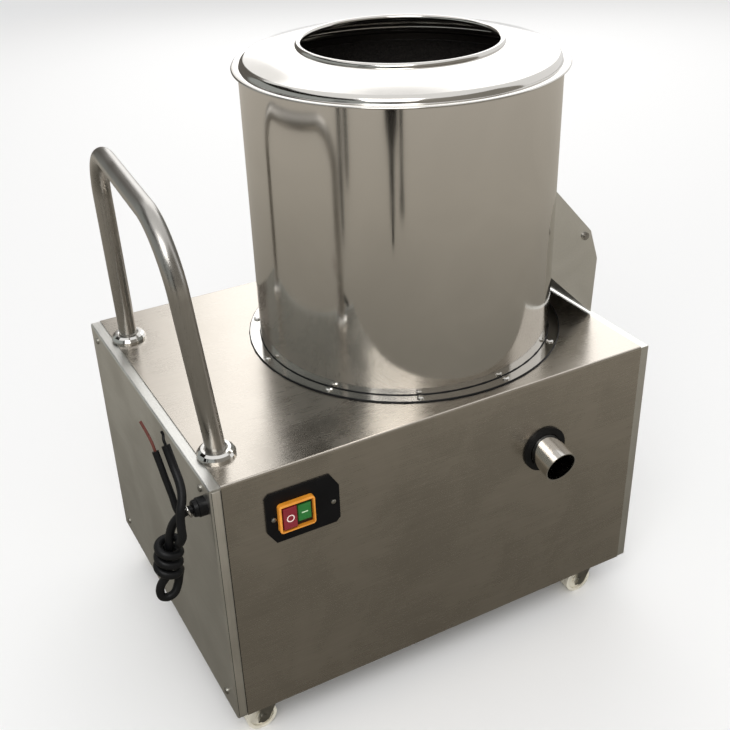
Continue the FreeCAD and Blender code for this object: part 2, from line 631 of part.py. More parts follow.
def castor_bolts(right, back):
    """Four hex bolts with nuts above the frame."""
    x = mm("right_x") - mm("castor_in") if right > 0 else mm("left_x") + mm("castor_in")
    y = mm("back_y") - mm("castor_deep") if back > 0 else mm("front_y") + mm("castor_deep")
    low = mm("castor_rise") - mm("castor_plate_gauge")
    high = mm("castor_rise") + mm("sheet_gauge") + mm("angle_gauge")
    reach = mm("castor_bolt") * 1.8
    made = []
    for a in (-1, 1):
        for b in (-1, 1):
            at = Vector(x + a * mm("castor_bolt_x") / 2, y + b * mm("castor_bolt_y") / 2, low)
            head = hexagon(reach, 2.2, at - Vector(0, 0, 2.2))
            shank = Part.makeCylinder(mm("castor_bolt"), high - low + 4, at)
            seat = high if b * back > 0 else mm("castor_rise") + mm("sheet_gauge")
            nut = hexagon(reach, 3.2, Vector(at.x, at.y, seat))
            made.append(head.fuse([shank, nut]))
    return made


def hexagon(reach, thick, at):
    corners = [at + Vector(reach * math.cos(math.radians(60 * i)), reach * math.sin(math.radians(60 * i)), 0)
               for i in range(7)]
    corners[6] = corners[0]
    return Part.Face(Part.makePolygon(corners)).extrude(Vector(0, 0, thick))


def make_fork(corner, across, deep):
    """A pressed fork with its axle, and the wheel between its legs. The wheel trails to the left."""
    cap_top = "race_low - part_gap"
    half = "(wheel_width / 2 + 1)"
    cap = rod("fork_cap_" + corner, "castor_race + 2", "fork_gauge", across, deep, cap_top + " - fork_gauge")
    bridge = block("fork_bridge_" + corner, across + " - castor_race - 1", across + " + castor_race - 3",
                   "%s - %s - fork_gauge" % (deep, half), "%s + %s + fork_gauge" % (deep, half),
                   cap_top + " - fork_gauge", cap_top)
    legs = []
    leg = [("-castor_race - 1", "race_low - part_gap"), ("castor_race - 3", "race_low - part_gap"),
           ("-wheel_trail + 7", "wheel_radius - 6"), ("-wheel_trail - 6", "wheel_radius - 6")]
    for side, start in (("near", "%s - %s - fork_gauge" % (deep, half)), ("far", "%s + %s" % (deep, half))):
        legs.append(padded("fork_leg_%s_%s" % (corner, side), "XZ_Plane", leg, "fork_gauge", across, start, "0"))
    shell = join("fork_shell_" + corner, [cap, bridge] + legs)
    axle_x = across + " - wheel_trail"
    bored = cut("fork_bored_" + corner, shell, [
        rod("fork_eye_" + corner, "4 + part_gap", "fork_gauge + 2", across, deep, cap_top + " - fork_gauge - 1"),
        rod("fork_axle_hole_" + corner, "axle_radius", "wheel_width + 40", axle_x, deep + " - wheel_width / 2 - 20",
            "wheel_radius", "y")])
    axle = rod("fork_axle_" + corner, "axle_radius", "wheel_width + 2 + 2 * fork_gauge", axle_x,
               "%s - %s - fork_gauge" % (deep, half), "wheel_radius", "y")
    heads = [rod("fork_axle_head_%s_a" % corner, "axle_radius + 2.4", "2.2", axle_x,
                 "%s - %s - fork_gauge - 2.2" % (deep, half), "wheel_radius", "y"),
             rod("fork_axle_head_%s_b" % corner, "axle_radius + 2.4", "2.2", axle_x,
                 "%s + %s + fork_gauge" % (deep, half), "wheel_radius", "y")]
    pin = join("fork_axle_set_" + corner, [axle] + heads)
    node("castor_fork_" + corner, join_apart("castor_fork_pair_" + corner, [bored, pin]))
    wheel = rod("wheel_disc_" + corner, "wheel_radius", "wheel_width", axle_x, deep + " - wheel_width / 2",
                "wheel_radius", "y")
    bore = rod("wheel_bore_" + corner, "axle_radius + running_gap", "wheel_width + 2", axle_x,
               deep + " - wheel_width / 2 - 1", "wheel_radius", "y")
    dishes = [tube("wheel_dish_%s_%s" % (corner, side), "wheel_radius - 4", "axle_radius + 4", "3", axle_x, start,
                   "wheel_radius", "y")
              for side, start in (("a", deep + " - wheel_width / 2 - 0.5"), ("b", deep + " + wheel_width / 2 - 2.5"))]
    node("castor_wheel_" + corner, cut("wheel_" + corner, wheel, [bore] + dishes))


# Drum, flange, liner and lid
def make_drum():
    shell = tube("drum_tube", "drum_radius", "drum_bore", "drum_rise", "drum_x", "drum_y", "top_z")
    door = ("drum_x", "drum_x + drum_radius + 20", "drum_y - chute_half + 4", "drum_y + chute_half - 4",
            "top_z + chute_foot_rise", "top_z + chute_head_rise - 8")
    node("drum_shell", cut("drum_cut", shell, [block("drum_port", *door)]))
    liner = tube("liner_tube", "drum_bore", "drum_bore - liner_gauge", "drum_rise - liner_top_gap - liner_foot_rise",
                 "drum_x", "drum_y", "top_z + liner_foot_rise")
    node("abrasive_liner", cut("liner_cut", liner, [block("liner_port", *door)]))
    ring = tube("flange_ring", "flange_radius", "drum_radius", "flange_gauge", "drum_x", "drum_y", "top_z")
    holes = []
    for i in range(int(mm("flange_screw_count"))):
        turn = "(flange_screw_start + %d * 360 / flange_screw_count)" % i
        holes.append(rod("flange_hole_%d" % i, "screw_shank", "flange_gauge + 2",
                         "drum_x + (drum_radius + flange_screw_in) * cos(%s * 1deg)" % turn,
                         "drum_y + (drum_radius + flange_screw_in) * sin(%s * 1deg)" % turn, "top_z - 1"))
    node("drum_flange", cut("flange_cut", ring, holes))
    screws = []
    for i in range(int(mm("flange_screw_count"))):
        turn = math.radians(mm("flange_screw_start") + i * 360 / mm("flange_screw_count"))
        reach = mm("drum_radius") + mm("flange_screw_in")
        screws.append(screw("flange", mm("drum_x") + reach * math.cos(turn), mm("drum_y") + reach * math.sin(turn),
                            mm("top_z") + mm("flange_gauge"), 8, "z", head_first=False))
    node("flange_screws", solid("flange_screw_set", Part.makeCompound(screws)))


def make_lid():
    """A loose cone with a rolled brim, a skirt that drops into the drum, and a bead round its mouth."""
    inner = "drum_bore - skirt_gap - lid_gauge"
    neck = "mouth_radius + lid_gauge"
    bend = "(shoulder_foot - shoulder_bend + (shoulder_bend - %s) * cos(%d * 1deg))"
    rise = "(brim_rise + (shoulder_bend - %s) * sin(%d * 1deg))"
    turns = (0, 16, 32, 48, 64, 80)
    profile = [
        ("drum_bore - skirt_gap", "-skirt_depth"),
        ("drum_bore - skirt_gap", "0"),
        ("brim_radius - 1", "0"),
        ("brim_radius", "0.8"),
        ("brim_radius", "brim_rise - 0.6"),
        ("brim_radius - 1.2", "brim_rise"),
    ]
    profile += [(bend % ("0", turn), rise % ("0", turn)) for turn in turns]
    profile += [
        ("cone_head", "cone_rise"),
        (neck, "cone_rise + 0.4"),
        (neck, "cone_rise + 0.4 - lid_gauge"),
        ("cone_head - 0.2", "cone_rise - lid_gauge"),
    ]
    profile += [(bend % ("lid_gauge", turn), rise % ("lid_gauge", turn)) for turn in reversed(turns)]
    profile += [
        (inner, "brim_rise - lid_gauge"),
        (inner, "-skirt_depth"),
    ]
    cone = turned("lid_cone", profile, "drum_x", "drum_y", "drum_top")
    bead = doc.addObject("Part::Torus", "lid_bead")
    bead.setExpression("Radius1", bound("mouth_radius + bead_thick / 2"))
    bead.setExpression("Radius2", bound("bead_thick / 2"))
    place(bead, "drum_x", "drum_y", "drum_top + cone_rise + 0.7")
    node("lid", join("lid_whole", [cone, bead]))


# Water bowl and drain
def make_bowl():
    pan = rod("bowl_out", "drum_radius", "bowl_depth", "drum_x", "drum_y", "bowl_low")
    lip = rod("bowl_lip", "flange_radius", "flange_gauge", "drum_x", "drum_y", "under_top - flange_gauge")
    body = join("bowl_solid", [pan, lip])
    tools = [rod("bowl_hollow", "drum_bore", "bowl_depth", "drum_x", "drum_y", "bowl_low + bowl_floor"),
             rod("bowl_eye", "housing_radius + running_gap", "bowl_floor + 2", "drum_x", "drum_y", "bowl_low - 1"),
             drain_rod("bowl_drain", "drain_radius", "-200", "0")]
    for i in range(int(mm("flange_screw_count"))):
        turn = "(flange_screw_start + %d * 360 / flange_screw_count)" % i
        tools.append(rod("bowl_hole_%d" % i, "screw_shank", "flange_gauge + 2",
                         "drum_x + (drum_radius + flange_screw_in) * cos(%s * 1deg)" % turn,
                         "drum_y + (drum_radius + flange_screw_in) * sin(%s * 1deg)" % turn,
                         "under_top - flange_gauge - 1"))
    for i in range(4):
        tools.append(foot_bolt_hole("bowl_foot_hole_%d" % i, i, "bowl_low - 1", "bowl_floor + 2"))
    node("water_bowl", cut("bowl_cut", body, tools))
    outer = join("drain_outer", [
        drain_rod("drain_stem", "drain_radius - nose_step", "-60", "nose_start + 1"),
        drain_rod("drain_nose", "drain_radius", "nose_start", "drain_out / cos(drain_slope * 1deg)")])
    inner = drain_rod("drain_inner", "drain_radius - drain_wall", "-80", "drain_out / cos(drain_slope * 1deg) + 10")
    trim = rod("drain_trim", "drum_bore", "bowl_depth", "drum_x", "drum_y", "bowl_low")
    node("drain_pipe", cut("drain_cut", outer, [inner, trim]))
    ring = rod("grommet_ring", "grommet_radius", "grommet_thick", "drain_x", "front_y - 3", "drain_z", "y")
    groove = tube("grommet_groove", "grommet_radius + 1", "grommet_radius - 3.1", "sheet_gauge", "drain_x", "front_y",
                  "drain_z", "y")
    way = drain_rod("grommet_way", "drain_radius + 0.2", "-30", "30")
    node("drain_grommet", cut("grommet_cut", ring, [groove, way]))


def drain_rod(name, radius, start, end):
    """A cylinder on the drain's sloping axis, between two distances in front of the cabinet."""
    obj = doc.addObject("Part::Cylinder", name)
    obj.setExpression("Radius", bound(radius))
    obj.setExpression("Height", bound("(%s) - (%s)" % (end, start)))
    obj.setExpression("Placement.Rotation.Axis.x", "1")
    obj.setExpression("Placement.Rotation.Axis.y", "0")
    obj.setExpression("Placement.Rotation.Axis.z", "0")
    obj.setExpression("Placement.Rotation.Angle", bound("(90 + drain_slope) * 1deg"))
    return place(obj, "drain_x", "front_y - (%s) * cos(drain_slope * 1deg)" % start,
                 "drain_z - (%s) * sin(drain_slope * 1deg)" % start)


def foot_bolt_hole(name, i, low, length):
    """One of four holes on the diagonals of the bearing housing's flange."""
    across = 1 if i in (0, 3) else -1
    deep = 1 if i in (0, 1) else -1
    return rod(name, "foot_bolt", length, "drum_x + %d * (housing_foot - foot_bolt_in) / sqrt(2)" % across,
               "drum_y + %d * (housing_foot - foot_bolt_in) / sqrt(2)" % deep, low)


# Shaft, bearings, disc and pulley
def make_drive():
    bore = "bearing_radius"
    housing = [
        ("shaft_radius + 2", "housing_low"), ("housing_radius + 4", "housing_low"),
        ("housing_radius + 4", "bowl_low - housing_foot_gauge"), ("housing_foot", "bowl_low - housing_foot_gauge"),
        ("housing_foot", "bowl_low"), ("housing_radius", "bowl_low"), ("housing_radius", "housing_top"),
        (bore, "housing_top"), (bore, "housing_top - bearing_width - 8"),
        ("shaft_radius + 3", "housing_top - bearing_width - 8"), ("shaft_radius + 3", "housing_low + bearing_width + 4"),
        (bore, "housing_low + bearing_width + 4"), (bore, "housing_low + 4"), ("shaft_radius + 2", "housing_low + 4"),
    ]
    body = turned("housing_turned", housing, "drum_x", "drum_y")
    node("bearing_housing", cut("housing_cut", body, [foot_bolt_hole("housing_hole_%d" % i, i,
                                                                      "bowl_low - housing_foot_gauge - 1",
                                                                      "housing_foot_gauge + 2") for i in range(4)]))
    bearings = [tube("bearing_" + name, "bearing_radius", "shaft_radius + running_gap", "bearing_width", "drum_x",
                     "drum_y", z)
                for name, z in (("upper", "housing_top - bearing_width - 8"), ("lower", "housing_low + 4"))]
    node("main_bearings", join_apart("bearing_pair", bearings))
    node("shaft_seal", tube("seal", "bearing_radius", "shaft_radius + running_gap", "8", "drum_x", "drum_y",
                            "housing_top - 8"))
    shaft = [("0", "pulley_level - pulley_thick / 2 - 14"), ("shaft_radius - 2", "pulley_level - pulley_thick / 2 - 14"),
             ("shaft_radius", "pulley_level - pulley_thick / 2 - 12"), ("shaft_radius", "disc_low"), ("0", "disc_low")]
    node("main_shaft", turned("shaft_turned", shaft, "drum_x", "drum_y"))
    disc = rod("disc_plate", "disc_radius", "disc_gauge", "drum_x", "drum_y", "disc_low")
    hub = rod("disc_hub", "hub_radius", "hub_length", "drum_x", "drum_y", "hub_low")
    seat = rod("disc_seat", "shaft_radius", "hub_length", "drum_x", "drum_y", "hub_low")
    bolt = rod("disc_bolt_way", "5", "disc_gauge + 2", "drum_x", "drum_y", "disc_low - 1")
    node("grinding_disc", cut("disc_cut", join("disc_solid", [disc, hub]), [seat, bolt]))
    coat = tube("grit_coat", "disc_radius", "22", "grit_gauge", "drum_x", "drum_y", "disc_top")
    waves = []
    for i in range(int(mm("wave_count"))):
        waves.append(ridge(i))
    node("disc_grit", join("grit_whole", [coat] + waves))
    head = rod("disc_bolt_head", "20", "4", "drum_x", "drum_y", "disc_top")
    shank = rod("disc_bolt_shank", "5", "disc_gauge", "drum_x", "drum_y", "disc_low")
    knob = rod("disc_bolt_hex", "9", "11", "drum_x", "drum_y", "disc_top")
    node("disc_bolt", join("disc_bolt_whole", [head, shank, knob]))


def ridge(index):
    """One rounded ridge across the disc, from near its middle to its edge."""
    start, end = 34, mm("disc_radius") - 6
    half = 26
    rise = mm("wave_rise")
    foot = mm("disc_top") + mm("grit_gauge") / 2
    arc = Part.Arc(Vector(start, -half, foot), Vector(start, 0, foot + rise), Vector(start, half, foot))
    chord = Part.LineSegment(Vector(start, half, foot), Vector(start, -half, foot))
    face = Part.Face(Part.Wire([arc.toShape(), chord.toShape()]))
    shape = face.extrude(Vector(end - start, 0, 0))
    edge = Part.makeCylinder(mm("disc_radius") - 2, 60, Vector(0, 0, foot - 20))
    shape = shape.common(edge)
    shape.rotate(Vector(), Vector(0, 0, 1), 120 * index + 30)
    shape.translate(Vector(mm("drum_x"), mm("drum_y"), 0))
    return solid("disc_ridge_%d" % index, shape)


def pulley(name, radius, bore, x, y, web):
    """A V pulley whose rim is as wide as the belt's groove needs."""
    low = "pulley_level - pulley_thick / 2"
    high = "pulley_level + pulley_thick / 2"
    rim = "%s - groove_depth" % radius
    lower = "pulley_level - belt_top / 2 - groove_slack"
    upper = "pulley_level + belt_top / 2 + groove_slack"
    points = [(bore, low), (radius, low), (radius, lower), (rim, lower + " + groove_taper"),
              (rim, upper + " - groove_taper"), (radius, upper), (radius, high)]
    if web:
        points += [("%s - 22" % radius, high), ("%s - 22" % radius, "pulley_level + 4"), ("32", "pulley_level + 4"),
                   ("26", high)]
    points.append((bore, high))
    return turned(name, points, x, y)


def make_belt():
    """A V belt round both pulleys, clear of the grooves' walls."""
    a = Vector(mm("drum_x"), mm("drum_y"), mm("pulley_level"))
    b = Vector(mm("motor_x"), mm("motor_y"), mm("pulley_level"))
    sunk = 0.5
    big, small = mm("driven_radius") - sunk, mm("motor_pulley_radius") - sunk
    path = belt_loop(a, b, big, small)
    start = path.Edges[0].valueAt(path.Edges[0].FirstParameter)
    way = path.Edges[0].tangentAt(path.Edges[0].FirstParameter)
    inward = (a - start).normalize()
    inward = (inward - way * inward.dot(way)).normalize()
    up = Vector(0, 0, 1)
    slope = mm("groove_taper") / mm("groove_depth")
    wide = mm("belt_top") / 2 + mm("groove_slack") - sunk * slope - mm("part_gap") * 1.1
    deep = mm("belt_depth")
    corners = [start + up * wide, start - up * wide, start + inward * deep - up * (wide - deep * slope),
               start + inward * deep + up * (wide - deep * slope)]
    section = Part.makePolygon(corners + [corners[0]])
    return path.makePipeShell([section], True, False)


def belt_loop(a, b, big, small):
    """Closed outline of two arcs and their outer tangents, seen from above."""
    line = b - a
    length = line.Length
    way = line.normalize()
    side = Vector(-way.y, way.x, 0)
    lean = math.acos((big - small) / length)
    edges = []
    tangents = []
    for sign in (1, -1):
        normal = way * math.cos(lean) + side * (sign * math.sin(lean))
        tangents.append((a + normal * big, b + normal * small))
    (a1, b1), (a2, b2) = tangents
    edges.append(Part.LineSegment(a1, b1).toShape())
    edges.append(Part.Arc(b1, b + way * small, b2).toShape())
    edges.append(Part.LineSegment(b2, a2).toShape())
    edges.append(Part.Arc(a2, a - way * big, a1).toShape())
    return Part.Wire(edges)


def make_pulleys():
    driven = pulley("driven_turned", "driven_radius", "shaft_radius", "drum_x", "drum_y", True)
    node("driven_pulley", driven)
    node("motor_pulley", pulley("motor_pulley_turned", "motor_pulley_radius", "motor_shaft", "motor_x", "motor_y", False))
    node("v_belt", solid("belt_solid", make_belt()))


# Motor on its plate
def make_motor():
    node("motor_plate", block("motor_board", "plate_x", "plate_x + plate_gauge", "motor_y - 80", "motor_y + 80",
                              "motor_low - 20", "motor_top + 10"))
    parts = [rod("motor_barrel", "motor_radius", "motor_length", "motor_x", "motor_y", "motor_low")]
    for i in range(int(mm("motor_rib_count"))):
        turn = 360.0 / mm("motor_rib_count") * (i + 0.5)
        if abs(turn - 180) > 50:
            parts.append(rib(i, turn))
    for level, z in (("low", "motor_low + 8"), ("high", "motor_top - 26")):
        parts.append(block("motor_foot_" + level, "plate_x + plate_gauge", "motor_x - motor_bore + 8",
                           "motor_y - 38", "motor_y + 38", z, z + " + 18"))
    body = join("motor_casting", parts)
    node("motor_housing", cut("motor_case", body, [rod("motor_hollow", "motor_bore", "motor_length + 2", "motor_x",
                                                       "motor_y", "motor_low - 1")]))
    bells = []
    for name, z in (("low", "motor_low - end_bell"), ("high", "motor_top")):
        bells.append(tube("bell_" + name, "motor_radius", "motor_shaft + running_gap", "end_bell", "motor_x", "motor_y",
                          z))
    node("motor_end_bells", join_apart("bell_pair", bells))
    cup = rod("fan_cup", "motor_radius", "fan_cover_rise", "motor_x", "motor_y", "motor_top + end_bell")
    well = rod("fan_well", "motor_radius - 1.5", "fan_cover_rise - 1.5", "motor_x", "motor_y", "motor_top + end_bell")
    grille = [rod("fan_hole_%d" % i, "4", "6", "motor_x + 30 * cos(%d * 1deg)" % (30 * i),
                  "motor_y + 30 * sin(%d * 1deg)" % (30 * i), "motor_top + end_bell + fan_cover_rise - 4")
              for i in range(12)]
    node("motor_fan_cover", cut("fan_cover", cup, [well] + grille))
    shaft = rod("rotor_shaft", "motor_shaft", "motor_top + end_bell + 18 - pulley_level + pulley_thick / 2 + 2", "motor_x", "motor_y",
                "pulley_level - pulley_thick / 2 - 2")
    core = rod("rotor_core", "rotor_radius", "motor_length - 30", "motor_x", "motor_y", "motor_low + 15")
    node("motor_rotor", join("rotor", [shaft, core]))
    boss = rod("fan_boss", "14", "14", "motor_x", "motor_y", "motor_top + end_bell + 2")
    disc = rod("fan_disc", "fan_radius", "2", "motor_x", "motor_y", "motor_top + end_bell + 2")
    blades = [blade(i) for i in range(8)]
    hole = rod("fan_bore", "motor_shaft", "20", "motor_x", "motor_y", "motor_top + end_bell")
    node("motor_fan", cut("fan_cut", join("fan_solid", [boss, disc] + blades), [hole]))
    can = rod("capacitor_can", "19", "72", "plate_x + 19", "motor_y - 190", "motor_low + 2")
    cap = rod("capacitor_cap", "16", "8", "plate_x + 19", "motor_y - 190", "motor_low + 74")
    node("capacitor", join("capacitor_whole", [can, cap]))


def rib(index, turn):
    length = mm("motor_length") - 16
    shape = Part.makeBox(mm("motor_rib") + 4, 3, length, Vector(mm("motor_radius") - 4, -1.5, 8))
    shape.rotate(Vector(), Vector(0, 0, 1), turn)
    shape.translate(Vector(mm("motor_x"), mm("motor_y"), mm("motor_low")))
    return solid("motor_rib_%d" % index, shape)


def blade(index):
    low = mm("motor_top") + mm("end_bell") + 3
    shape = Part.makeBox(mm("fan_radius") - 13, 2, 14, Vector(12, -1, 0))
    shape.rotate(Vector(), Vector(0, 0, 1), 45 * index)
    shape.translate(Vector(mm("motor_x"), mm("motor_y"), low))
    return solid("fan_blade_%d" % index, shape)


# Push handle
def make_handle():
    x = mm("left_x") + mm("handle_in")
    front, back = mm("front_y") + mm("handle_front"), mm("front_y") + mm("handle_back")
    top, rise = mm("top_z"), mm("handle_rise")
    foot_front = Vector(x, front, top)
    foot_back = Vector(x, back, top)
    bend_front = Vector(x - mm("handle_lean_front"), front, top + rise)
    bend_back = Vector(x - mm("handle_lean_back"), back, top + rise)
    root = mm("handle_root")
    points = [foot_front - Vector(0, 0, root), foot_front + Vector(0, 0, 6), bend_front, bend_back,
              foot_back + Vector(0, 0, 6), foot_back - Vector(0, 0, root)]
    radii = [40, mm("handle_bend"), mm("handle_bend"), 40]
    path = rounded_path(points, radii)
    outer = swept(path, mm("handle_tube"))
    inner = swept(path, mm("handle_tube") - mm("handle_wall"))
    node("handle_tube", solid("handle_pipe", outer.cut(inner)))
    collars, nuts = [], []
    for name, deep in (("front", "handle_front"), ("back", "handle_back")):
        ring = [("handle_tube + running_gap", "0"), ("collar_radius", "0"), ("collar_radius", "collar_rise * 0.35"),
                ("collar_radius - 2", "collar_rise * 0.75"), ("collar_radius - 5", "collar_rise"),
                ("handle_tube + 2", "collar_rise"), ("handle_tube + running_gap", "collar_rise - 1.5")]
        collars.append(turned("collar_" + name, ring, "left_x + handle_in", "front_y + " + deep, "top_z"))
        nuts.append(tube("nut_" + name, "handle_tube + nut_wall", "handle_tube + running_gap", "nut_thick",
                         "left_x + handle_in", "front_y + " + deep, "under_top - nut_thick"))
    node("handle_collars", join_apart("collar_pair", collars))
    node("handle_nuts", join_apart("nut_pair", nuts))


def rounded_path(points, radii):
    """Straight runs joined by tangent arcs."""
    edges = []
    at = points[0]
    for i in range(1, len(points) - 1):
        here, before, after = points[i], points[i - 1], points[i + 1]
        u = (before - here).normalize()
        v = (after - here).normalize()
        half = math.acos(max(-1.0, min(1.0, u.dot(v)))) / 2
        if abs(half - math.pi / 2) < 1e-4:
            continue
        reach = radii[i - 1] / math.tan(half)
        start, end = here + u * reach, here + v * reach
        middle = (u + v).normalize()
        centre = here + middle * (radii[i - 1] / math.sin(half))
        top = centre - middle * radii[i - 1]
        if (start - at).Length > 1e-6:
            edges.append(Part.LineSegment(at, start).toShape())
        edges.append(Part.Arc(start, top, end).toShape())
        at = end
    edges.append(Part.LineSegment(at, points[-1]).toShape())
    return Part.Wire(edges)


def swept(path, radius):
    """A round bar along a path."""
    first = path.Edges[0]
    start = first.valueAt(first.FirstParameter)
    way = first.tangentAt(first.FirstParameter)
    ring = Part.Wire([Part.makeCircle(radius, start, way)])
    return path.makePipeShell([ring], True, False)


# Switch
def make_switch():
    left, right, foot, head = "switch_x", "switch_far", "switch_foot", "switch_head"
    small = "switch_small_cut"
    shape = [
        (left, foot + " + switch_big_cut_z"), (left + " + switch_big_cut_x", foot), (right + " - " + small, foot),
        (right, foot + " + " + small), (right, head + " - switch_big_cut_z"), (right + " - switch_big_cut_x", head),
        (left + " + " + small, head), (left, head + " - " + small),
    ]
    plate = padded("switch_board", "XZ_Plane", shape, "switch_gauge", "0", "front_y - switch_gauge")
    window = block("switch_window", "collar_x + 3", "collar_x + collar_width - 3", "front_y - 6", "front_y + 1",
                   "collar_head - collar_height + 3", "collar_head - 3")
    holes = [rod("switch_hole_" + side, "screw_shank", "8", across, "front_y - 5", high, "y")
             for side, across, high in SWITCH_SCREWS]
    node("switch_plate", cut("switch_plate_cut", plate, [window] + holes))
    rim = block("collar_block", "collar_x", "collar_x + collar_width", "front_y - collar_out",
                "front_y - switch_gauge", "collar_head - collar_height", "collar_head")
    rim = softened("collar_corners", rim, mm("collar_corner"), lambda middle, way: abs(way.y) > 0.9)
    face = mm("front_y") - mm("collar_out")
    rim = softened("collar_edges", rim, mm("collar_edge"), lambda middle, way: abs(middle.y - face) < 0.1)
    neck = block("collar_neck", "collar_x + 3.2", "collar_x + collar_width - 3.2", "front_y - switch_gauge - 1",
                 "block_front", "collar_head - collar_height + 3.2", "collar_head - 3.2")
    wells = [block("collar_well", "collar_x + collar_wall", "collar_x + collar_width - collar_wall",
                   "front_y - collar_out - 1", "front_y - collar_out + collar_well",
                   "collar_head - collar_height + collar_wall", "collar_head - collar_wall")]
    for side, x0, x1, tall, proud in BUTTONS:
        wells.append(block("collar_well_" + side, x0 + " - part_gap", x1 + " + part_gap", "front_y - collar_out - 1",
                           "block_front + 1", "collar_mid_z - %s / 2 - part_gap" % tall,
                           "collar_mid_z + %s / 2 + part_gap" % tall))
    node("switch_collar", cut("collar_cut", join("collar_solid", [rim, neck]), wells))
    holder = block("contact_block", "collar_mid_x - block_width / 2", "collar_mid_x + block_width / 2", "block_front",
                   "block_front + block_depth", "collar_mid_z - block_height / 2", "collar_mid_z + block_height / 2")
    bores = []
    for side, x0, x1, tall, proud in BUTTONS:
        middle = "(%s + %s) / 2" % (x0, x1)
        cap = block("button_cap_" + side, x0, x1, "button_front - " + proud, "button_back",
                    "collar_mid_z - %s / 2" % tall, "collar_mid_z + %s / 2" % tall)
        doc.recompute()
        front = cap.Shape.BoundBox.YMin
        cap = softened("button_edges_" + side, cap, mm("button_edge"), lambda middle, way: abs(middle.y - front) < 0.1)
        stem = rod("button_stem_" + side, "3", "button_travel + 11", middle, "button_back", "collar_mid_z", "y")
        node(side + "_button", join(side + "_button_whole", [cap, stem]))
        bores.append(rod("block_bore_" + side, "6", "24", middle, "block_front - 1", "collar_mid_z", "y"))
        node(side + "_spring", tube(side + "_coil", "5.6", "3.4", "block_front - button_back + 18", middle,
                                    "button_back", "collar_mid_z", "y"))
    node("switch_block", cut("block_cut", holder, bores))


BUTTONS = [
    ("stop", "collar_mid_x - button_web / 2 - button_width", "collar_mid_x - button_web / 2", "stop_height",
     "stop_proud"),
    ("start", "collar_mid_x + button_web / 2", "collar_mid_x + button_web / 2 + button_width", "start_height", "0"),
]


# Discharge chute with its door and latch
def make_chute():
    """Two cheeks, a sloping roof and a sloping floor, cut to the drum's wall."""
    root = "drum_x + drum_radius * 0.7"
    brow = ("drum_x + chute_brow_out", "top_z + chute_brow_rise")
    nose = ("drum_x + chute_nose_out", "top_z + chute_nose_rise")
    lip = ("drum_x + chute_lip_out", "top_z")
    rise = "(chute_head_rise - chute_brow_rise) / (chute_brow_out - chute_root)"
    fall = "chute_foot_rise / (chute_lip_out - chute_root)"
    start_high = "top_z + chute_head_rise + (chute_root - 0.7 * drum_radius) * %s" % rise
    start_low = "top_z + chute_foot_rise + (chute_root - 0.7 * drum_radius) * %s" % fall
    side = [(root, start_low), lip, nose, brow, (root, start_high)]
    parts = []
    for name, near in (("front", "drum_y - chute_half"), ("back", "drum_y + chute_half - chute_gauge")):
        parts.append(padded("cheek_" + name, "XZ_Plane", side, "chute_gauge", "0", near))
    floor = [(root, start_low), lip, (lip[0] + " + 0.8", lip[1] + " + chute_gauge"),
             (root, start_low + " + chute_gauge * 1.4")]
    roof = [(root, start_high), brow, (brow[0], brow[1] + " - chute_gauge * 1.4"),
            (root, start_high + " - chute_gauge * 1.4")]
    parts.append(padded("chute_floor", "XZ_Plane", floor, "2 * chute_half", "0", "drum_y - chute_half"))
    parts.append(padded("chute_roof", "XZ_Plane", roof, "2 * chute_half", "0", "drum_y - chute_half"))
    whole = join("chute_sheets", parts)
    stop_face = "door_x + door_pin + 0.1 - stop_gap"
    parts.append(block("chute_stop", stop_face + " - chute_gauge", stop_face, "drum_y - chute_half",
                       "drum_y + chute_half", "top_z + 16", "top_z + stop_rise"))
    trim = rod("chute_trim", "drum_radius", "400", "drum_x", "drum_y", "top_z - 1")
    pin_way = rod("chute_pin_way", "door_pin", "2 * chute_half + 4", "door_x", "drum_y - chute_half - 2", "door_z", "y")
    node("chute_body", cut("chute_cut", whole, [trim, pin_way]))
    rod_y = "drum_y - chute_half - 3"
    pin = rod("pin_rod", "door_pin", "2 * chute_half + 6", "door_x", rod_y, "door_z", "y")
    heads = [rod("pin_head_a", "door_pin + 2", "2", "door_x", "drum_y - chute_half - 2", "door_z", "y"),
             rod("pin_head_b", "door_pin + 2", "2", "door_x", "drum_y + chute_half", "door_z", "y")]
    node("door_hinge_pin", join("pin_whole", [pin] + heads))
    make_door()


def make_door():
    """A flat door that hangs from its pin, with a quarter-turn latch through it."""
    wide = "(2 * (chute_half - chute_gauge - door_side_gap))"
    near = "drum_y - %s / 2" % wide
    knuckle_out = rod("knuckle_out", "door_pin + knuckle_wall + 0.1", wide, "door_x", near, "door_z", "y")
    knuckle_in = rod("knuckle_in", "door_pin + 0.1", wide, "door_x", near, "door_z", "y")
    face = "door_x + door_pin + 0.1"
    board = block("door_board", face, face + " + knuckle_wall", near, near + " + " + wide, "door_low", "door_z")
    hem = block("door_hem", face, face + " + 6", near, near + " + " + wide, "door_low", "door_low + 1.5")
    latch_z = "door_low + latch_rise"
    hole = rod("door_latch_hole", "latch_radius + running_gap", "10", face + " - 4", "drum_y", latch_z, "x")
    node("chute_door", cut("door_cut", join("door_solid", [knuckle_out, board, hem]), [knuckle_in, hole]))
    spindle = rod("latch_spindle", "latch_radius", "latch_out + 7", face + " - 5.6", "drum_y", latch_z, "x")
    collar = rod("latch_washer", "latch_radius + 3", "2", face + " + knuckle_wall + part_gap", "drum_y", latch_z, "x")
    grip = block("latch_bar", face + " + latch_out - 6", face + " + latch_out + 2", "drum_y - latch_grip / 2",
                 "drum_y + latch_grip / 2", latch_z + " - 4", latch_z + " + 4")
    back = face + " - stop_gap - chute_gauge - 2 * part_gap"
    tongue = block("latch_tongue_bar", back + " - 3", back, "drum_y", "drum_y + latch_tongue",
                   latch_z + " - 5", latch_z + " + 5")
    node("door_latch", join("latch_whole", [spindle, collar, grip, tongue]))


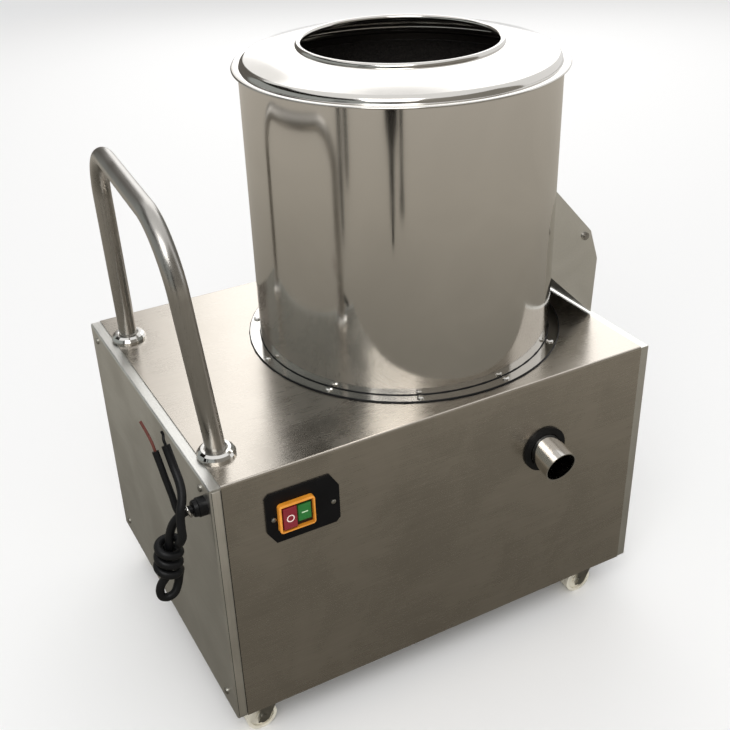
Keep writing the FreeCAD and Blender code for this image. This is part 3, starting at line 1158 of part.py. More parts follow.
# Cable gland and cord
def make_gland():
    barrel = [("cord_radius + 0.05", "0"), ("gland_radius", "0"), ("gland_radius", "gland_out * 0.6"),
              ("gland_radius - 1", "gland_out * 0.66"), ("gland_radius - 1.6", "gland_out - 1"),
              ("gland_radius - 2.6", "gland_out"), ("cord_radius + 0.05", "gland_out")]
    body = turned("gland_barrel", barrel)
    body.Placement = Placement(Vector(), Rotation(Vector(0, 1, 0), -90))
    place(body, "cover_face", "gland_y", "gland_z")
    stem = tube("gland_stem", "gland_radius - 3", "cord_radius + 0.05", "8", "cover_face", "gland_y", "gland_z", "x")
    nut = tube("gland_nut", "gland_radius", "gland_radius - 3", "5", "cover_face + sheet_gauge", "gland_y", "gland_z",
               "x")
    node("cable_gland", join("gland_whole", [body, stem, nut]))


def biarc(p0, t0, p1, t1):
    """Two arcs that leave one point and reach the next along given directions."""
    gap = p1 - p0
    turn = t0 + t1
    spread = 2 * (1 - t0.dot(t1))
    if spread < 1e-9:
        reach = gap.dot(gap) / (4 * gap.dot(t1))
    else:
        reach = (-gap.dot(turn) + math.sqrt(gap.dot(turn) ** 2 + spread * gap.dot(gap))) / spread
    middle = (p0 + p1 + (t0 - t1) * reach) * 0.5
    return [arc_from(p0, t0, middle), arc_from(p1, t1 * -1, middle, True)]


def arc_from(start, way, end, flip=False):
    """The arc that leaves start along way and passes through end."""
    chord = end - start
    side = chord - way * chord.dot(way)
    if side.Length < 1e-6:
        edge = Part.LineSegment(end, start) if flip else Part.LineSegment(start, end)
        return edge.toShape(), 1e9
    side.normalize()
    radius = chord.dot(chord) / (2 * chord.dot(side))
    centre = start + side * radius
    bisect = ((start - centre) + (end - centre)).normalize()
    top = centre + bisect * radius
    edge = Part.Arc(end, top, start) if flip else Part.Arc(start, top, end)
    return edge.toShape(), radius


def smooth_edges(points):
    """Arcs through a list of points, tangent all along; the end directions follow the first and last runs."""
    count = len(points)
    ways = []
    for i in range(count):
        before = points[max(0, i - 1)]
        after = points[min(count - 1, i + 1)]
        ways.append((after - before).normalize())
    edges, radii = [], []
    for i in range(count - 1):
        for edge, radius in biarc(points[i], ways[i], points[i + 1], ways[i + 1]):
            edges.append(edge)
            radii.append(radius)
    return edges, radii


# The cord's stretches, by hand, as steps from the gland's mouth: outwards, back and up
CORD_DOWN = [(0, 0, 0), (7, 0.3, -0.6), (14, 1.5, -4.5), (20, 3.2, -11.5), (24, 4.4, -20.5)]
HANK_HEAD = Vector(26.5, 5, -31)
HANK_FOOT = Vector(32.5, 7, -73)
CORD_RISE = [(20.2, -6.2, -31.5), (20.3, -12, -26), (17, -15, -18.5), (13.5, -16, -9.5), (10.5, -15.8, 0), (8, -13.2, 9),
             (5.5, -6.5, 16), (4.6, 2.8, 22), (5.4, 12.5, 30), (6.2, 21.5, 39.5), (7, 29, 50.5), (8, 35, 61)]
CORD_LEG = [(13.8, 10.2, 1.6), (14.2, 14.5, 10.5), (15.2, 19.5, 20.5), (16.4, 24.5, 31), (17.6, 29.5, 43), (19.2, 36, 57)]
ACROSS = Vector(-0.885, -0.464, 0)
TOWARDS = Vector(0.464, -0.885, 0)
# The bight below the wraps: to the left, to the front and down from the foot of the wraps
BIGHT = [(2.5, 0, 9), (7.5, 0, 17), (10.2, 0, 26.5), (6.9, 0, 35.5), (-1.5, -2, 38.5), (-9, -5, 34.5), (-12.2, -9.5, 27),
         (-12.6, -12.2, 18), (-12.4, -11.5, 9.5), (-11.8, -6.5, 2.6)]


def cord_point(step):
    mouth = Vector(mm("cover_face") - mm("gland_out"), mm("gland_y"), mm("gland_z"))
    return mouth + Vector(-step[0], step[1], step[2])


def wound_points():
    """The strand through the wraps, the bight, then the wraps that climb round the strand."""
    way = (HANK_HEAD - HANK_FOOT).normalize()
    run = [HANK_HEAD + (HANK_FOOT - HANK_HEAD) * (i / 3.0) for i in range(4)]
    bight = [HANK_FOOT - ACROSS * left + TOWARDS * front - way * down for left, front, down in BIGHT]
    side = (ACROSS - way * ACROSS.dot(way)).normalize()
    front = (TOWARDS - way * TOWARDS.dot(way)).normalize()
    per_turn = 12
    wraps = []
    for i in range(int(mm("hank_turns") * per_turn) + 1):
        angle = 2 * math.pi * i / per_turn
        around = side * math.cos(angle) + front * math.sin(angle)
        wraps.append(HANK_FOOT + way * (1.5 + mm("hank_pitch") * i / per_turn) + around * mm("hank_radius"))
    return [(p.x, p.y, p.z) for p in run + bight + wraps]


def make_cord():
    """One cord whose end splits in two legs, each with a bare core at its tip."""
    main = [cord_point(step) for step in CORD_DOWN + wound_points() + CORD_RISE]
    node("power_cord", solid("cord_tube", cord_tube("power_cord", main, mm("cord_radius"))))
    leg = [cord_point(step) for step in CORD_LEG]
    node("cord_tail", solid("leg_tube", cord_tube("cord_tail", leg, mm("leg_radius"))))
    cores = []
    for points, bend in ((main, CORE_BENDS[0]), (leg, CORE_BENDS[1])):
        end = points[-1]
        way = (end - points[-2]).normalize()
        route = [end] + [end + way * reach + Vector(*shift) for reach, shift in bend]
        edges, radii = smooth_edges(route)
        cores.append(swept(Part.Wire(edges), mm("core_radius")))
    node("cord_cores", solid("core_pair", Part.makeCompound(cores)))
    lead = cord_point((8, 0.5, -1))
    node("cord_tie", solid("tie_ring", Part.makeTorus(mm("cord_radius") + 2, 1.3, lead, Vector(1, 0, 0.3))))


CORE_BENDS = [
    [(6, (0, 0, 0)), (11, (1.5, 0.5, -0.5)), (16, (1, -1, -1))],
    [(9, (0, 0, 0)), (18, (-1, 2.5, 1)), (28, (-3, 6, 3))],
]


def cord_tube(name, points, radius):
    """One unbroken tube; prints its length, its tightest bend and its least gap to itself."""
    edges, radii = smooth_edges(points)
    length = sum(edge.Length for edge in edges)
    samples = []
    run = 0
    for edge in edges:
        for i in range(4):
            samples.append((run + edge.Length * i / 4.0, edge.valueAt(edge.FirstParameter + (
                edge.LastParameter - edge.FirstParameter) * i / 4.0)))
        run += edge.Length
    apart = math.pi * radius * 2
    sharp = [(round(bend, 1), round(sum(edge.Length for edge in edges[:i]))) for i, bend in enumerate(radii)
             if bend < 1.5 * radius]
    pairs = [((a - b).Length, round(i), round(j)) for i, a in samples for j, b in samples if j - i > apart]
    least = min(pairs) if pairs else (0, 0, 0)
    shape = swept(Part.Wire(edges), radius)
    print(name, "length", round(length, 1), "tightest", round(min(radii), 1), "gap", round(least[0] - 2 * radius, 2), "at", least[1:],
          "sharp", sharp,
          "volume ratio", round(shape.Volume / (length * math.pi * radius * radius), 4))
    return shape


make_cabinet()
make_cover("left")
make_cover("right")
make_panel_screws()
make_frame()
make_castors()
make_drum()
make_lid()
make_bowl()
make_drive()
make_pulleys()
make_motor()
make_handle()
make_switch()
make_chute()
make_gland()
make_cord()
doc.recompute()

faults = [obj.Name for obj in doc.Objects if "Invalid" in obj.State or "Error" in obj.State]
for name, obj in NODES.items():
    if obj.Shape.isNull() or not obj.Shape.isValid() or not obj.Shape.Solids:
        faults.append(name)
if faults:
    raise RuntimeError("faulty pieces: " + ", ".join(faults))

os.makedirs("parts", exist_ok=True)
for name, obj in NODES.items():
    obj.Shape.exportStep(os.path.join("parts", name + ".step"))
print("pieces", len(NODES))
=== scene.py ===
"""Dresses the electric potato peeler: stainless sheet, polished drum, push handle, switch box, cord and castors."""

import math

import bmesh
import bpy
from mathutils import Matrix, Vector


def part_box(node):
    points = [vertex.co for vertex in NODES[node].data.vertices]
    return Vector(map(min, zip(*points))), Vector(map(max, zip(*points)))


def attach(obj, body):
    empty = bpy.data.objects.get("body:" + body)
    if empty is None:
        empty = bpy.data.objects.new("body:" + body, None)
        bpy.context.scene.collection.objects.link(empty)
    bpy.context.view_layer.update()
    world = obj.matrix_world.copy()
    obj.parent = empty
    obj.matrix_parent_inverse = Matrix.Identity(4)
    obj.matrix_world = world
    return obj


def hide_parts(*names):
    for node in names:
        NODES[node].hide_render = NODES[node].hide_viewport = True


bl_info = {
    "name": "Potato Peeler",
    "version": (1, 0, 0),
    "blender": (4, 5, 0),
    "location": "View3D > Sidebar > Peeler",
    "description": "Finishes and fittings of a floor-standing electric potato peeler",
    "category": "Add Mesh",
}

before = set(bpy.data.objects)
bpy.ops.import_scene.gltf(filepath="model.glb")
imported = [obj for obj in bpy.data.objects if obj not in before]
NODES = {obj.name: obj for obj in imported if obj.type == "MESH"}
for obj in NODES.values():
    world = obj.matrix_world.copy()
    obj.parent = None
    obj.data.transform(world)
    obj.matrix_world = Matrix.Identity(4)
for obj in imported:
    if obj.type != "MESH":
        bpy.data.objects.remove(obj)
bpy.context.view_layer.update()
MM = 0.001
UP = Vector((0, 0, 1))
FULL_TURN = 2 * math.pi


def linear(code):
    """The linear colour, with alpha, of an sRGB hex value."""
    parts = [int(code[i:i + 2], 16) / 255 for i in (1, 3, 5)]
    return tuple(p / 12.92 if p <= 0.04045 else ((p + 0.055) / 1.055) ** 2.4 for p in parts) + (1.0,)


def colour(name, code, words):
    """A colour property with its default as an sRGB hex value."""
    return bpy.props.FloatVectorProperty(
        name=name, description=words, subtype="COLOR", size=4, min=0, max=1, default=linear(code)
    )


def length(name, value, words):
    """A length property, in metres."""
    return bpy.props.FloatProperty(name=name, description=words, unit="LENGTH", default=value, min=0.0001, precision=4)


# Sizes and colours


class PeelerSizes(bpy.types.PropertyGroup):
    """Sizes of the fittings that are modelled here."""

    cord_width: length("Cord", 9.2 * MM, "Outer diameter of the power cord")
    leg_width: length("Cord leg", 7.2 * MM, "Outer diameter of the second leg of the cord")
    core_width: length("Core", 3.0 * MM, "Outer diameter of a bare core")
    mark_radius: length("Stop mark", 3.9 * MM, "Radius of the ring on the stop button")
    mark_stroke: length("Stroke", 1.3 * MM, "Width of the marks on the buttons")
    grain: length("Grain", 0.9 * MM, "Spacing of the brushed lines, drawn coarser than the real ones so that they show")


class PeelerColours(bpy.types.PropertyGroup):
    """Colours of the finishes."""

    sheet: colour("Brushed sheet", "#cbc4ba", "Brushed stainless steel of the cabinet")
    side: colour("Side covers", "#e9e8e3", "Brushed stainless steel of the covers and the chute")
    mirror: colour("Polished sheet", "#d8d5d0", "Polished stainless steel of the drum")
    tube: colour("Handle tube", "#b2afaa", "Satin stainless tube")
    chrome: colour("Chrome", "#dedcd8", "Chromed nuts and collars")
    zinc: colour("Zinc", "#a5a39c", "Zinc plate on the castors and screws")
    paint: colour("Frame paint", "#5b5f60", "Painted angle steel inside")
    iron: colour("Cast iron", "#47494a", "Pulleys and the bearing housing")
    alloy: colour("Cast aluminium", "#b0b2b3", "Motor housing")
    black: colour("Black plastic", "#0b0b0d", "Moulded switch plate")
    orange: colour("Orange plastic", "#dd8f2c", "Moulded switch collar")
    red: colour("Red plastic", "#7d1a26", "Stop button")
    green: colour("Green plastic", "#23702f", "Start button")
    pale_green: colour("Pale green ink", "#b9d8b0", "Mark on the start button")
    white: colour("White ink", "#e8d3c8", "Marks on the buttons")
    nylon: colour("Nylon", "#d8d2c1", "Castor wheels")
    grit: colour("Grit", "#221e1a", "Silicon carbide grit of the disc and the liner")
    rubber: colour("Rubber", "#0d0d0e", "Cord sheath, gland and grommet")
    # Painted highlight: the folded edge is the covers' steel, painted lighter where it catches the light; its upright
    # brushing is real
    edge: colour("Cover edges", "#f6f3ec", "Folded front edge of the left cover, brushed upright")
    # Painted shade: this dark tone of the strips in the switch collar's well stands in for the shade in its recess
    well: colour("Switch well", "#1d0d0c", "Floor of the switch collar's well")
    brown: colour("Brown core", "#5c2a20", "Insulation of one core")


# Materials


def add(tree, kind, settings=None, **links):
    """Adds a shader node. settings are its own options, its ramp stops or its inputs' values; links feed its inputs."""
    node = tree.nodes.new("ShaderNode" + kind)
    for name, value in (settings or {}).items():
        if name == "stops":
            ramp = node.color_ramp.elements
            while len(ramp) < len(value):
                ramp.new(0.5)
            for element, (position, shade) in zip(ramp, value):
                element.position = position
                element.color = shade
        elif isinstance(name, str) and hasattr(node, name):
            setattr(node, name, value)
        else:
            node.inputs[name].default_value = value
    feed(tree, node, **links)
    return node


def feed(tree, node, **links):
    """Links sockets to a node's inputs. An underscore in a name stands for a space."""
    for name, socket in links.items():
        tree.links.new(socket, node.inputs[name.replace("_", " ")])


def noise(tree, place, scale, detail, **others):
    """A noise's value. others are more of its inputs' values."""
    return add(tree, "TexNoise", {"Scale": scale, "Detail": detail, **others}, Vector=place).outputs["Fac"]


def stretched(tree, place, scale):
    """The coordinates, with a scale for each axis."""
    return add(tree, "Mapping", {"Scale": scale}, Vector=place).outputs["Vector"]


def ranged(tree, value, start, end, low, high):
    """The value, with the range from start to end brought to the range from low to high."""
    limits = {"From Min": start, "From Max": end, "To Min": low, "To Max": high}
    return add(tree, "MapRange", limits, Value=value).outputs["Result"]


def toned(tree, value, *stops):
    """The colour that a value has on a ramp."""
    return add(tree, "ValToRGB", {"stops": stops}, Fac=value).outputs["Color"]


def bumped(tree, height, strength, distance, **links):
    """A normal that follows a height."""
    return add(tree, "Bump", {"Strength": strength, "Distance": distance}, Height=height, **links).outputs["Normal"]


def surface(name, settings):
    """A new material: (material, its tree, its shader, its Object coordinates)."""
    material = bpy.data.materials.new(name)
    material.use_nodes = True
    tree = material.node_tree
    shader = tree.nodes["Principled BSDF"]
    for key, value in settings.items():
        shader.inputs[key].default_value = value
    return material, tree, shader, add(tree, "TexCoord").outputs["Object"]


def shades(base, *factors):
    """The colour, lighter or darker, once for each factor."""
    return [tuple(min(1.0, part * f) for part in base[:3]) + (1.0,) for f in factors]


# How much longer than wide a brushed line is, and how strongly the lines stand out
LINE_STRETCH = 60
LINE_DEPTH = 0.12


def brushed(name, base, grain, along, rough, wave=0.0):
    """Rolled and belt-brushed stainless sheet: fine parallel lines stretch the highlights across them,
    with faint cloudy smears where the sheet was handled."""
    material, tree, shader, place = surface(name, {"Metallic": 1.0, "Roughness": rough})
    stretch = [1 / grain] * 3
    stretch["XYZ".index(along)] = 1 / (grain * LINE_STRETCH)
    lines = noise(tree, stretched(tree, place, stretch), 1.0, 3.0, Roughness=0.6)
    # Smears about 90 mm across.
    smears = noise(tree, place, 11.0, 4.0, Roughness=0.55, Distortion=0.6)
    light, dark, cloudy = shades(base, 1.06, 0.86, 0.88)
    mixed = add(tree, "Mix", {"data_type": "RGBA", "blend_type": "MIX", 0: 0.5})
    tree.links.new(toned(tree, lines, (0.3, dark), (0.7, light)), mixed.inputs[6])
    tree.links.new(toned(tree, smears, (0.35, cloudy), (0.62, light)), mixed.inputs[7])
    total = add(tree, "Math", {"operation": "ADD"})
    tree.links.new(ranged(tree, smears, 0.3, 0.7, rough - 0.05, rough + 0.07), total.inputs[0])
    tree.links.new(ranged(tree, lines, 0.25, 0.75, -0.04, 0.04), total.inputs[1])
    under = {}
    if wave:
        # Sheet is never quite flat: a swell about 250 mm long bends the reflections.
        under["Normal"] = bumped(tree, noise(tree, place, 4.0, 1.0), wave, 0.004)
    normal = bumped(tree, lines, LINE_DEPTH, 0.0002, **under)
    feed(tree, shader, Base_Color=mixed.outputs[2], Roughness=total.outputs["Value"], Normal=normal)
    return material


def polished(name, base, rough, wave=0.05):
    """Mirror-polished stainless: sharp reflections that a slight swell of the sheet bends, with a few hairline rubs."""
    material, tree, shader, place = surface(name, {"Metallic": 1.0, "Base Color": base, "Roughness": rough})
    # Hairlines stand upright, about 1.5 mm apart.
    rubs = noise(tree, stretched(tree, place, (650.0, 650.0, 9.0)), 1.0, 3.0)
    stain = noise(tree, place, 9.0, 5.0, Distortion=0.8)
    # The swell is about 150 mm long round the drum and much longer upright.
    swell = noise(tree, stretched(tree, place, (7.0, 7.0, 1.5)), 1.0, 1.0)
    feed(tree, shader, Base_Color=toned(tree, stain, (0.35, shades(base, 0.94)[0]), (0.65, base)),
         Roughness=ranged(tree, stain, 0.35, 0.75, rough, rough + 0.09),
         Normal=bumped(tree, rubs, 0.04, 0.0002, Normal=bumped(tree, swell, wave, 0.01)))
    return material


def plated(name, base, rough, grain=0.006, contrast=0.12, metallic=1.0, bump=0.1):
    """Plated, cast or painted metal: blotches of one size, with roughness and height that follow them."""
    material, tree, shader, place = surface(name, {"Metallic": metallic, "Roughness": rough})
    spots = noise(tree, place, 1 / grain, 5.0, Roughness=0.6)
    dark, light = shades(base, 1 - contrast, 1 + contrast)
    feed(tree, shader, Base_Color=toned(tree, spots, (0.3, dark), (0.7, light)),
         Roughness=ranged(tree, spots, 0.3, 0.7, rough - 0.06, rough + 0.08),
         Normal=bumped(tree, spots, bump, 0.0003))
    return material


def moulded(name, base, rough, grain=0.0012, bump=0.12, contrast=0.07, shine=0.5):
    """Injection-moulded plastic or rubber: a fine spark-eroded grain, with slightly lighter handled patches."""
    material, tree, shader, place = surface(name, {"Roughness": rough, "IOR": 1.49, "Specular IOR Level": shine})
    texture = noise(tree, place, 1 / grain, 2.0)
    worn = noise(tree, place, 40.0, 4.0)
    dark, light = shades(base, 1 - contrast, 1 + 2 * contrast)
    feed(tree, shader, Base_Color=toned(tree, worn, (0.35, dark), (0.7, light)),
         Roughness=ranged(tree, worn, 0.3, 0.7, rough - 0.05, rough + 0.1),
         Normal=bumped(tree, texture, bump, 0.0001))
    return material


def gritty(name, base):
    """Silicon carbide grit in resin: dark grains 2 mm across with bright facets."""
    material, tree, shader, place = surface(name, {"Roughness": 0.75, "IOR": 1.5})
    grains = add(tree, "TexVoronoi", {"Scale": 500.0}, Vector=place)
    dark, light = shades(base, 0.5, 1.9)
    height = add(tree, "Bump", {"Strength": 0.9, "Distance": 0.0012, "invert": True}, Height=grains.outputs["Distance"])
    feed(tree, shader, Base_Color=toned(tree, grains.outputs["Color"], (0.0, dark), (1.0, light)),
         Normal=height.outputs["Normal"])
    return material


FINISHES = {}


def make_finishes(scene):
    """Fills FINISHES with the object's materials."""
    c = scene.peeler_colours
    grain = scene.peeler_sizes.grain
    FINISHES.update(
        {
            "brushed_sheet": brushed("stainless_brushed", c.sheet, grain, "X", 0.27, wave=0.2),
            "brushed_side": brushed("stainless_brushed_side", c.side, grain, "Y", 0.36, wave=0.2),
            # Lighter base colour than the covers: a painted highlight on the folded edge
            "cover_edge": brushed("stainless_brushed_edge_highlight", c.edge, grain, "Z", 0.4, wave=0.1),
            "satin_tube": brushed("stainless_satin_tube", c.tube, grain * 0.7, "Z", 0.3),
            "mirror": polished("stainless_polished", c.mirror, 0.07),
            "lid_mirror": polished("stainless_polished_lid", c.mirror, 0.1, wave=0.08),
            "chrome": polished("chromed_steel", c.chrome, 0.06, wave=0.02),
            "steel": plated("machined_steel", shades(c.tube, 0.8)[0], 0.32),
            "zinc": plated("zinc_plated_steel", c.zinc, 0.36, grain=0.008, contrast=0.2),
            "paint": plated("grey_frame_paint", c.paint, 0.5, grain=0.02, contrast=0.08, metallic=0.0),
            "iron": plated("cast_iron", c.iron, 0.6, grain=0.003, contrast=0.25, metallic=0.8, bump=0.4),
            "alloy": plated("cast_aluminium", c.alloy, 0.48, grain=0.003, contrast=0.1, bump=0.25),
            "black": moulded("black_moulded_abs", c.black, 0.36, shine=0.2),
            "orange": moulded("orange_moulded_abs", c.orange, 0.36),
            # Painted shade in the collar's well
            "well": moulded("painted_well_shade", c.well, 0.4),
            "red": moulded("red_moulded_abs", c.red, 0.3),
            "green": moulded("green_moulded_abs", c.green, 0.3),
            "white": moulded("white_ink", c.white, 0.45),
            "pale_green": moulded("pale_green_ink", c.pale_green, 0.45),
            "nylon": moulded("white_nylon", c.nylon, 0.45, grain=0.003, contrast=0.12),
            "rubber": moulded("black_rubber", c.rubber, 0.42, grain=0.002, bump=0.2, contrast=0.15, shine=0.25),
            "brown": moulded("brown_core_sheath", c.brown, 0.4),
            "grit": gritty("silicon_carbide_grit", c.grit),
        }
    )


def coat(finish, *names):
    """Gives CAD nodes a finish."""
    for name in names:
        piece = NODES[name]
        if not piece.data.materials:
            piece.data.materials.append(FINISHES[finish])
        for slot in piece.material_slots:
            slot.material = FINISHES[finish]


# Pieces


def linked(name, data):
    """A new object in the scene."""
    piece = bpy.data.objects.new(name, data)
    bpy.context.scene.collection.objects.link(piece)
    return piece


def fitted(name, data, finish, body):
    """A new piece with a finish and a slot, which rides on a body."""
    data.materials.append(FINISHES[finish])
    piece = linked(name, data)
    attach(piece, body)
    return piece


def meshed(name, form):
    """Turns a bmesh into a mesh."""
    mesh = bpy.data.meshes.new(name)
    form.to_mesh(mesh)
    form.free()
    return mesh


def new_mesh(name, form, finish, body):
    """Turns a bmesh into a smooth-shaded piece that rides on a body."""
    bmesh.ops.recalc_face_normals(form, faces=form.faces)
    mesh = meshed(name, form)
    mesh.shade_smooth()
    return fitted(name, mesh, finish, body)


def spin(form, section, steps, sweep=FULL_TURN):
    """Turns a section about the upright axis."""
    bmesh.ops.spin(form, geom=section, cent=(0, 0, 0), axis=UP, dvec=(0, 0, 0), angle=sweep, steps=steps,
                   use_merge=sweep == FULL_TURN)


def section_circle(form, segments, wire, centre, flat=1.0):
    """The vertices of a round section that stands upright beside the axis, flattened along it."""
    place = Matrix.Translation(centre) @ Matrix.Rotation(math.pi / 2, 4, "X") @ Matrix.Diagonal((1, flat, 1, 1))
    return bmesh.ops.create_circle(form, segments=segments, radius=wire, matrix=place)["verts"]


RING_SEGMENTS = 12
RING_STEPS = 48


def ring(name, centre, axis, radius, wire, finish, body, flat=1.0):
    """A torus about an axis, its section flattened along the axis."""
    form = bmesh.new()
    section_circle(form, RING_SEGMENTS, wire, (radius, 0, 0), flat)
    spin(form, form.edges[:] + form.verts[:], RING_STEPS)
    turn = UP.rotation_difference(axis).to_matrix().to_4x4()
    bmesh.ops.transform(form, matrix=Matrix.Translation(centre) @ turn, verts=form.verts)
    return new_mesh(name, form, finish, body)


# The lid. Its heights are above the drum's upper edge.
BRIM_TOP = 3 * MM
BEAD_SEGMENTS = 16
SKIRT_DEPTH = 12 * MM
MOUTH_RADIUS = 110.2 * MM
BEAD_THICK = 7.1 * MM
BEAD_RISE = 22.1 * MM
LID_GAUGE = 1.1 * MM
LID_STEPS = 192
FOOT_IN = 9 * MM
SHOULDER_BEND = 8 * MM
SHOULDER_RISE = 2.6 * MM
LAND_WIDTH = 10 * MM
CONE_RISE = 21.4 * MM
CONE_SWELL = 0.8 * MM
CONE_STEPS = 12
SHOULDER_TURNS = range(0, 81, 8)
# Points in millimetres: the skirt and the brim's root out from the shoulder's foot and up, the brim in from its reach
# and up, and the neck out from the mouth and up
SKIRT = [(-0.1, -11.9), (-0.1, 0.3)]
BRIM = [(3, 0.3), (1.1, 0.2), (0.2, 0.7), (0, 1.3), (0.3, 2.0), (1.3, 2.5)]
BRIM_ROOT = [(0.6, 2.55)]
NECK = [(2.2, 21.7), (1.4, 22.1)]


def lid_profile(brim):
    """The lid's section: skirt, rolled brim, rounded shoulder, cone and neck."""
    foot = brim - FOOT_IN
    skirt = [(foot + out * MM, up * MM) for out, up in SKIRT]
    rim = [(brim - inwards * MM, up * MM) for inwards, up in BRIM]
    rim += [(foot + out * MM, up * MM) for out, up in BRIM_ROOT]
    turns = [math.radians(degrees) for degrees in SHOULDER_TURNS]
    shoulder = [(foot - SHOULDER_BEND + SHOULDER_BEND * math.cos(turn), SHOULDER_RISE + SHOULDER_BEND * math.sin(turn))
                for turn in turns]
    (x, z), cone = shoulder[-1], []
    for i in range(1, CONE_STEPS + 1):
        part = i / CONE_STEPS
        cone.append((x + (MOUTH_RADIUS + LAND_WIDTH - x) * part,
                     z + (CONE_RISE - z) * part + CONE_SWELL * math.sin(math.pi * part)))
    return skirt + rim + shoulder + cone + [(MOUTH_RADIUS + out * MM, up * MM) for out, up in NECK]


def make_lid():
    """Spun lid with a rolled brim and a bead round its mouth."""
    low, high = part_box("lid")
    axis = Vector(((low.x + high.x) / 2, (low.y + high.y) / 2, low.z + SKIRT_DEPTH))
    form = bmesh.new()
    verts = [form.verts.new((x, 0, z)) for x, z in lid_profile((high.x - low.x) / 2)]
    edges = [form.edges.new(pair) for pair in zip(verts, verts[1:])]
    spin(form, verts + edges, LID_STEPS)
    bmesh.ops.recalc_face_normals(form, faces=form.faces)
    for face in form.faces:
        # On an open shell the outside is the side that looks away from the drum's hollow.
        middle = face.calc_center_median()
        outwards = Vector((middle.x, middle.y, 0)).normalized() + UP
        if middle.z > BRIM_TOP and face.normal.dot(outwards) < 0:
            bmesh.ops.reverse_faces(form, faces=form.faces)
            break
    bmesh.ops.solidify(form, geom=form.faces[:], thickness=LID_GAUGE)
    bead = section_circle(form, BEAD_SEGMENTS, BEAD_THICK / 2, (MOUTH_RADIUS + BEAD_THICK / 2, 0, BEAD_RISE))
    spin(form, bead + list(dict.fromkeys(edge for vert in bead for edge in vert.link_edges)), LID_STEPS)
    bmesh.ops.remove_doubles(form, verts=form.verts, dist=0.01 * MM)
    bmesh.ops.translate(form, vec=axis, verts=form.verts)
    lid = new_mesh("lid_spun", form, "lid_mirror", "lid")
    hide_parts("lid")


def bar(name, centre, size, finish, body, bevel=0.45):
    """A small bar with rounded edges."""
    form = bmesh.new()
    bmesh.ops.create_cube(form, size=1, matrix=Matrix.Translation(centre) @ Matrix.Diagonal((*size, 1)))
    bmesh.ops.bevel(form, geom=form.edges[:], offset=min(size) * bevel, segments=3, profile=0.5, affect="EDGES",
                    material=-1)
    return new_mesh(name, form, finish, body)


# The dark strips in the switch collar's well, painted shade in the recess round the buttons
WELL_RIM = 2.5 * MM
WELL_GAP = 0.4 * MM
WELL_FLOOR = 6 * MM
STRIP_THICK = 1.6 * MM


def paint_well_shade():
    """Dark strips on the floor of the collar's well, clear of both buttons: painted shade in the recess."""
    collar, stop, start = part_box("switch_collar"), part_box("stop_button"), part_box("start_button")
    left, right = collar[0].x + WELL_RIM, collar[1].x - WELL_RIM
    low, high = collar[0].z + WELL_RIM, collar[1].z - WELL_RIM
    back = collar[0].y + WELL_FLOOR
    front = back - STRIP_THICK
    web = (stop[1].x + start[0].x) / 2
    stop_left, start_right = stop[0].x - WELL_GAP, start[1].x + WELL_GAP
    spots = [(left, stop_left, low, high), (start_right, right, low, high),
             (stop_left, web, stop[1].z + WELL_GAP, high), (stop_left, web, low, stop[0].z - WELL_GAP),
             (web, start_right, start[1].z + WELL_GAP, high), (web, start_right, low, start[0].z - WELL_GAP)]
    for number, (x0, x1, z0, z1) in enumerate(spots):
        bar("painted_shade_strip_%d" % number, Vector(((x0 + x1) / 2, (front + back) / 2, (z0 + z1) / 2)),
            (x1 - x0, back - front, z1 - z0), "well", "cabinet", bevel=0.02)


# The strips on the left cover's front edge: the brushed one, then the dark bars of painted shade in the gaps beside it
# and how far they lie in from its sides
EDGE_INSET = 4.4 * MM
EDGE_THICK = 0.4 * MM
EDGE_SHIFT = 0.6 * MM
STRIP_PROUD = 0.1 * MM
GAP_SHADE_WIDTH = 1.1 * MM
GAP_SHADE_THICK = 0.6 * MM
GAP_SHADE_RIGHT_IN = 0.2 * MM
GAP_SHADE_LEFT_IN = 2.9 * MM
TRIM_SHORT = 6 * MM


def trim_cover():
    """The left cover's front edge, brushed upright and painted lighter than the covers as a painted highlight, with a
    dark bar of painted shade in the gap on both sides.
    """
    low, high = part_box("left_cover")
    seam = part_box("cabinet_shell")[0].x
    front, middle, tall = low.y, (low.z + high.z) / 2, high.z - low.z - TRIM_SHORT
    bar("cover_edge", Vector(((seam + low.x) / 2 + EDGE_SHIFT, front - STRIP_PROUD, middle)),
        (seam - low.x - EDGE_INSET, EDGE_THICK, tall), "cover_edge", "cabinet", bevel=0.3)
    # Dark bars in the rubber finish: painted shade in the gaps beside the edge
    for name, x in (("gap_shade_right", seam - GAP_SHADE_RIGHT_IN), ("gap_shade_left", low.x + GAP_SHADE_LEFT_IN)):
        bar(name, Vector((x, front + STRIP_PROUD, middle)), (GAP_SHADE_WIDTH, GAP_SHADE_THICK, tall), "rubber", "cabinet",
            bevel=0.3)


def smooth(points, steps=6):
    """Points on one smooth line through the route's points."""
    route = [Vector(point) for point in points]
    ends = [2 * route[0] - route[1]] + route + [2 * route[-1] - route[-2]]
    line_points = []
    for a, b, c, d in zip(ends, ends[1:], ends[2:], ends[3:]):
        for i in range(steps):
            s = i / steps
            line_points.append(b + (c - a) * (s / 2) + (2 * a - 5 * b + 4 * c - d) * (s * s / 2)
                               + (3 * b - a - 3 * c + d) * (s ** 3 / 2))
    return line_points + [route[-1]]


def line(name, points, width, finish, body):
    """A round cord on one smooth line through the route's points."""
    points = smooth(points)
    curve = bpy.data.curves.new(name, "CURVE")
    curve.dimensions = "3D"
    curve.bevel_depth = width / 2
    curve.bevel_resolution = 6
    curve.use_fill_caps = True
    spline = curve.splines.new("POLY")
    spline.points.add(len(points) - 1)
    for point, place in zip(spline.points, points):
        point.co = (*place, 1)
    spline.use_smooth = True
    return fitted(name, curve, finish, body)


